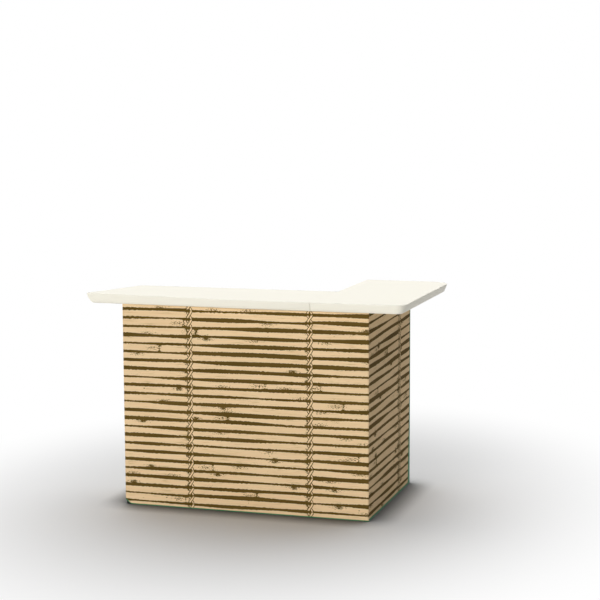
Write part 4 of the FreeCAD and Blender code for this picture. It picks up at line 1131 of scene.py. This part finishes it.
def clothStitchRuns(panel, sizes):
    # rows of stitches under the top, and seams up the corners and edges, as (index on the path, height)
    path = panel["path"]
    places = [[(i, height) for i in range(1, len(path) - 1)] for height in sizes["topRows"]]
    fromHem, fromTop = sizes["seamEnds"]
    heights = range(int(sizes["hemLow"] + fromHem), int(panel["top"]) - fromTop, sizes["seamStep"])
    for seam in panel["seams"]:
        nearest = min(range(len(path)), key=lambda i: abs(panel["start"] + path[i][2] - seam))
        places.append([(nearest, height) for height in heights])
    return [[clothPoint(panel, i, height, sizes, sizes["clothStitchProud"]) for i, height in run]
            for run in places]


def makeSkirt(sizes):
    cloth = printedCloth("bambooPrintPolyester", bambooPrint)
    back = printedCloth("bambooPrintReverse", printReverse)
    tape = greenTape(sizes["tapeColours"])
    tanStitches, greenStitches = [
        repeatTree(colour + "Stitches", "stitch", threadMaterial(colour + "Thread", sizes[colour + "Thread"]))
        for colour in ("tan", "green")]
    for name, panel in skirtPanels(sizes).items():
        mesh = skirtMesh(name + "Cloth", panel, sizes)
        sheet = makeObject(name + "Cloth", mesh, [cloth, back])
        mesh.polygons.foreach_set("use_smooth", [True] * len(mesh.polygons))
        wall = sheet.modifiers.new("thickness", "SOLIDIFY")
        wall.thickness = sizes["thick"] * mm
        wall.offset = -1
        wall.material_offset = 1
        wall.material_offset_rim = 1
        evaluated(sheet)
        binding, tapeRun = boundEdges(name, panel, sizes, tape)
        tapeThread, thread = [
            repeatAlong(polylines(name + title, runs), stitches, *sizes["stitch"])
            for title, runs, stitches in (("BindingStitches", [tapeRun], greenStitches),
                                          ("ClothStitches", clothStitchRuns(panel, sizes), tanStitches))]
        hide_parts(*panel["stands"])
        for piece, slotName in ((sheet, "printed_cloth"), (thread, "printed_cloth"),
                                (binding, "green_binding"), (tapeThread, "green_binding")):
            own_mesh(piece)
            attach(piece, "corner_tower")


makeSkirt(skirt)
print("stage: printed skirt, bound and stitched")

# The folding frame and the shelves: finishes, softened edges, welds and rivet heads

hardware = {
    # each finish: two colours, shader inputs, then the grain's width in mm and its bump's strength and depth
    "finishes": {
        # baked powder coat on welded steel tube: an even dark grey satin with orange peel 1.4 mm wide
        "greyPowderCoat": (("#5A5B5E", "#636468"), {
            "Roughness": 0.45, "IOR": 1.5, "Specular IOR Level": 0.5}, 1.4, 0.3, 0.0004),
        # injection-moulded nylon: near black and dull, its spark-eroded grain drawn at 1.1 mm (really 0.2 mm)
        "mouldedBlackNylon": (("#1D1D1F", "#252527"), {
            "Roughness": 0.52, "IOR": 1.53, "Specular IOR Level": 0.45}, 1.1, 0.25, 0.0003),
        # moulded rubber: a deep matt black with a dusty bloom and a coarse, worn grain of 2 mm
        "blackRubber": (("#1A1A1A", "#242423"), {
            "Roughness": 0.82, "IOR": 1.52, "Specular IOR Level": 0.35}, 2.0, 0.4, 0.0005),
        # woven hook tape: nylon hooks 2.2 mm apart, so it's rough and speckled and shows no highlight
        "blackHookTape": (("#141414", "#2C2C2C"), {
            "Roughness": 0.9, "IOR": 1.5, "Specular IOR Level": 0.2}, 2.2, 1.0, 0.0012),
        # bright zinc plate on steel rivets: a bluish white metal, a little cloudy, with marks 3.3 mm wide
        "brightZinc": (("#A9ABAC", "#C4C5C4"), {
            "Roughness": 0.36, "Metallic": 1.0}, 3.3, 0.15, 0.0003),
        # blow-moulded HDPE as in the counter, a shade greyer, with the same grain drawn at 2.4 mm
        "creamShelfHdpe": (("#E6E2D4", "#EDE9DC"), {
            "Roughness": 0.5, "IOR": 1.54, "Specular IOR Level": 0.4}, 2.4, 0.3, 0.0006),
    },
    # part of a node's name: its finish, and where its edges are rounded, how much and the new piece's slot
    "dress": {
        "_hook_tape": ("blackHookTape", None, None),
        "_feet": ("blackRubber", 2.0, "rubber_feet"),
        "_rivets": ("brightZinc", None, None),
        "bracket": ("mouldedBlackNylon", 1.2, "black_nylon"),
        "_sliders": ("mouldedBlackNylon", 1.2, "black_nylon"),
        "_arm": ("greyPowderCoat", 0.7, "coated_steel"),
        "shelf_": ("creamShelfHdpe", 2.6, "shelf_plastic"),
        "_ladder": ("greyPowderCoat", None, None),
        "_frame": ("greyPowderCoat", None, None),
        "_tube": ("greyPowderCoat", None, None),
    },
    "smoothAngle": 40,
    "cloudSize": 70,  # the finishes' colour and roughness vary over this many mm, the roughness by this much
    "cloudRoughness": 0.06,
    "rivetHead": (1, 2.2, 11.4, 11.4),  # a spacing that heads don't use, the head's height, its width twice
    "bead": (2.3, 3.0, 3.0, 3.0),  # from one weld ripple to the next, then its length, width and height
    "tubeSide": 25,
    "tubeCorner": 2.5,
}


def grainFinish(name, sizes):
    # a plain finish: colour and roughness in soft clouds, and a fine grain
    colours, shaderInputs, grain, strength, depth = sizes["finishes"][name]
    material, tree, shader = startMaterial(name, shaderInputs)
    place = addNode(tree, "ShaderNodeTexCoord").outputs["Object"]
    cloud, speck = [addNode(tree, "ShaderNodeTexNoise", None, {
        "Vector": place, "Scale": grains(size), "Detail": detail, "Roughness": 0.6})
        for size, detail in ((sizes["cloudSize"], 4), (grain, 3))]
    colour = addNode(tree, "ShaderNodeMix", {"data_type": "RGBA"}, {
        "Factor": cloud, 6: linear(colours[0]), 7: linear(colours[1])})
    rough, swing = shaderInputs["Roughness"], sizes["cloudRoughness"]
    roughness = addNode(tree, "ShaderNodeMapRange", None, {
        "Value": cloud, "From Min": 0.3, "From Max": 0.7, "To Min": rough - swing, "To Max": rough + swing})
    bump = addNode(tree, "ShaderNodeBump", None, {"Height": speck, "Strength": strength, "Distance": depth})
    for title, source in (("Base Color", colour.outputs[2]), ("Roughness", roughness.outputs[0]),
                          ("Normal", bump.outputs[0])):
        tree.links.new(source, shader.inputs[title])
    return material


def softened(node, bevel, material, smoothAngle):
    # a merged copy of a CAD piece with its edges rounded, as a moulding's or a ground bar's are
    work = mergedCopy(node)
    bmesh.ops.dissolve_limit(work, angle_limit=math.radians(1), verts=work.verts, edges=work.edges)
    piece = makeObject(node + "_rounded", meshFrom(work, node + "_rounded"), [material], smoothAngle)
    rounding = piece.modifiers.new("rounding", "BEVEL")
    rounding.width = bevel * mm
    rounding.segments = 2
    rounding.limit_method = "ANGLE"
    rounding.angle_limit = math.radians(smoothAngle)
    rounding.harden_normals = True
    evaluated(piece)
    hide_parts(node)
    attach(piece, bodyOf(node))


def rivetHeads(node, headTree, sizes):
    # a low dome on each flat rivet head
    across = 1 if "return" not in node else 0
    points = []
    facings = []
    for low, high in solidBoxes(node):
        for end, way in ((low, -1), (high, 1)):
            point = (low + high) / 2
            point[across] = end[across]
            facing = Vector((0, 0, 0))
            facing[across] = way
            points.append([point])
            facings.extend(facing)
    heads = polylines(node + "_domes", points)
    attribute = heads.data.attributes.new("facing", "FLOAT_VECTOR", "POINT")
    attribute.data.foreach_set("vector", facings)
    repeatAlong(heads, headTree, *sizes["rivetHead"])
    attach(heads, bodyOf(node))


def ringAround(centre, axis, sizes):
    # points round a square tube's end, its corners rounded, in the plane across the axis
    corner = sizes["tubeCorner"]
    flat = sizes["tubeSide"] / 2 - corner
    ways = [way for way in range(3) if way != axis]
    points = []
    for quarter, signs in enumerate(((1, 1), (-1, 1), (-1, -1), (1, -1))):
        for step in range(3):
            angle = math.radians(90 * quarter + 45 * step)
            point = Vector(centre)
            for way, sign, turn in zip(ways, signs, (math.cos(angle), math.sin(angle))):
                point[way] += flat * sign + corner * turn
            points.append(point)
    return points


def weldBeads(sizes, beadTree):
    # ripples of weld round each tube where it meets another
    side = sizes["tubeSide"]
    half = side / 2
    lowTube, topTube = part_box("corner_front_low_tube"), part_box("corner_front_top_tube")
    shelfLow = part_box("shelf_corner")[0].z / mm - half
    heights = [(lowTube[0].z + lowTube[1].z) / 2 / mm, shelfLow, (topTube[0].z + topTube[1].z) / 2 / mm]
    rings = {}
    for node in ("corner_inner_ladder", "corner_outer_ladder", "middle_ladder", "left_ladder"):
        low, high = boxInMm(node)
        rings[node] = [((high.x - half, y, z), 1) for y in (low.y + side, high.y - side) for z in heights]
    low, high = boxInMm("return_ladder")
    rings["return_ladder"] = [((x, high.y - half, z), 0)
                              for x in (low.x + side, high.x - side) for z in heights]
    for node in ("corner_front_low_tube", "corner_front_top_tube"):
        low, high = boxInMm(node)
        rings[node] = [((x, (low.y + high.y) / 2, (low.z + high.z) / 2), 0) for x in (low.x, high.x)]
    for node, places in rings.items():
        lines = [ringAround(centre, axis, sizes) for centre, axis in places]
        beads = polylines(node + "_welds", lines, closed=True)
        repeatAlong(beads, beadTree, *sizes["bead"])
        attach(beads, bodyOf(node))


def makeHardware(sizes):
    materials = {name: grainFinish(name, sizes) for name in sizes["finishes"]}
    heads = repeatTree("rivetDomes", "head", materials["brightZinc"])
    for node, piece in list(frame["nodes"].items()):
        mark = next((mark for mark in sizes["dress"] if mark in node), None)
        if mark is None:
            continue
        finish, bevel, slotName = sizes["dress"][mark]
        if bevel:
            softened(node, bevel, materials[finish], sizes["smoothAngle"])
        else:
            piece.data.materials.clear()
            piece.data.materials.append(materials[finish])
        if mark == "_rivets":
            rivetHeads(node, heads, sizes)
    weldBeads(sizes, repeatTree("weldRipples", "bead", materials["greyPowderCoat"]))


makeHardware(hardware)
print("stage: frame, shelves and hardware")
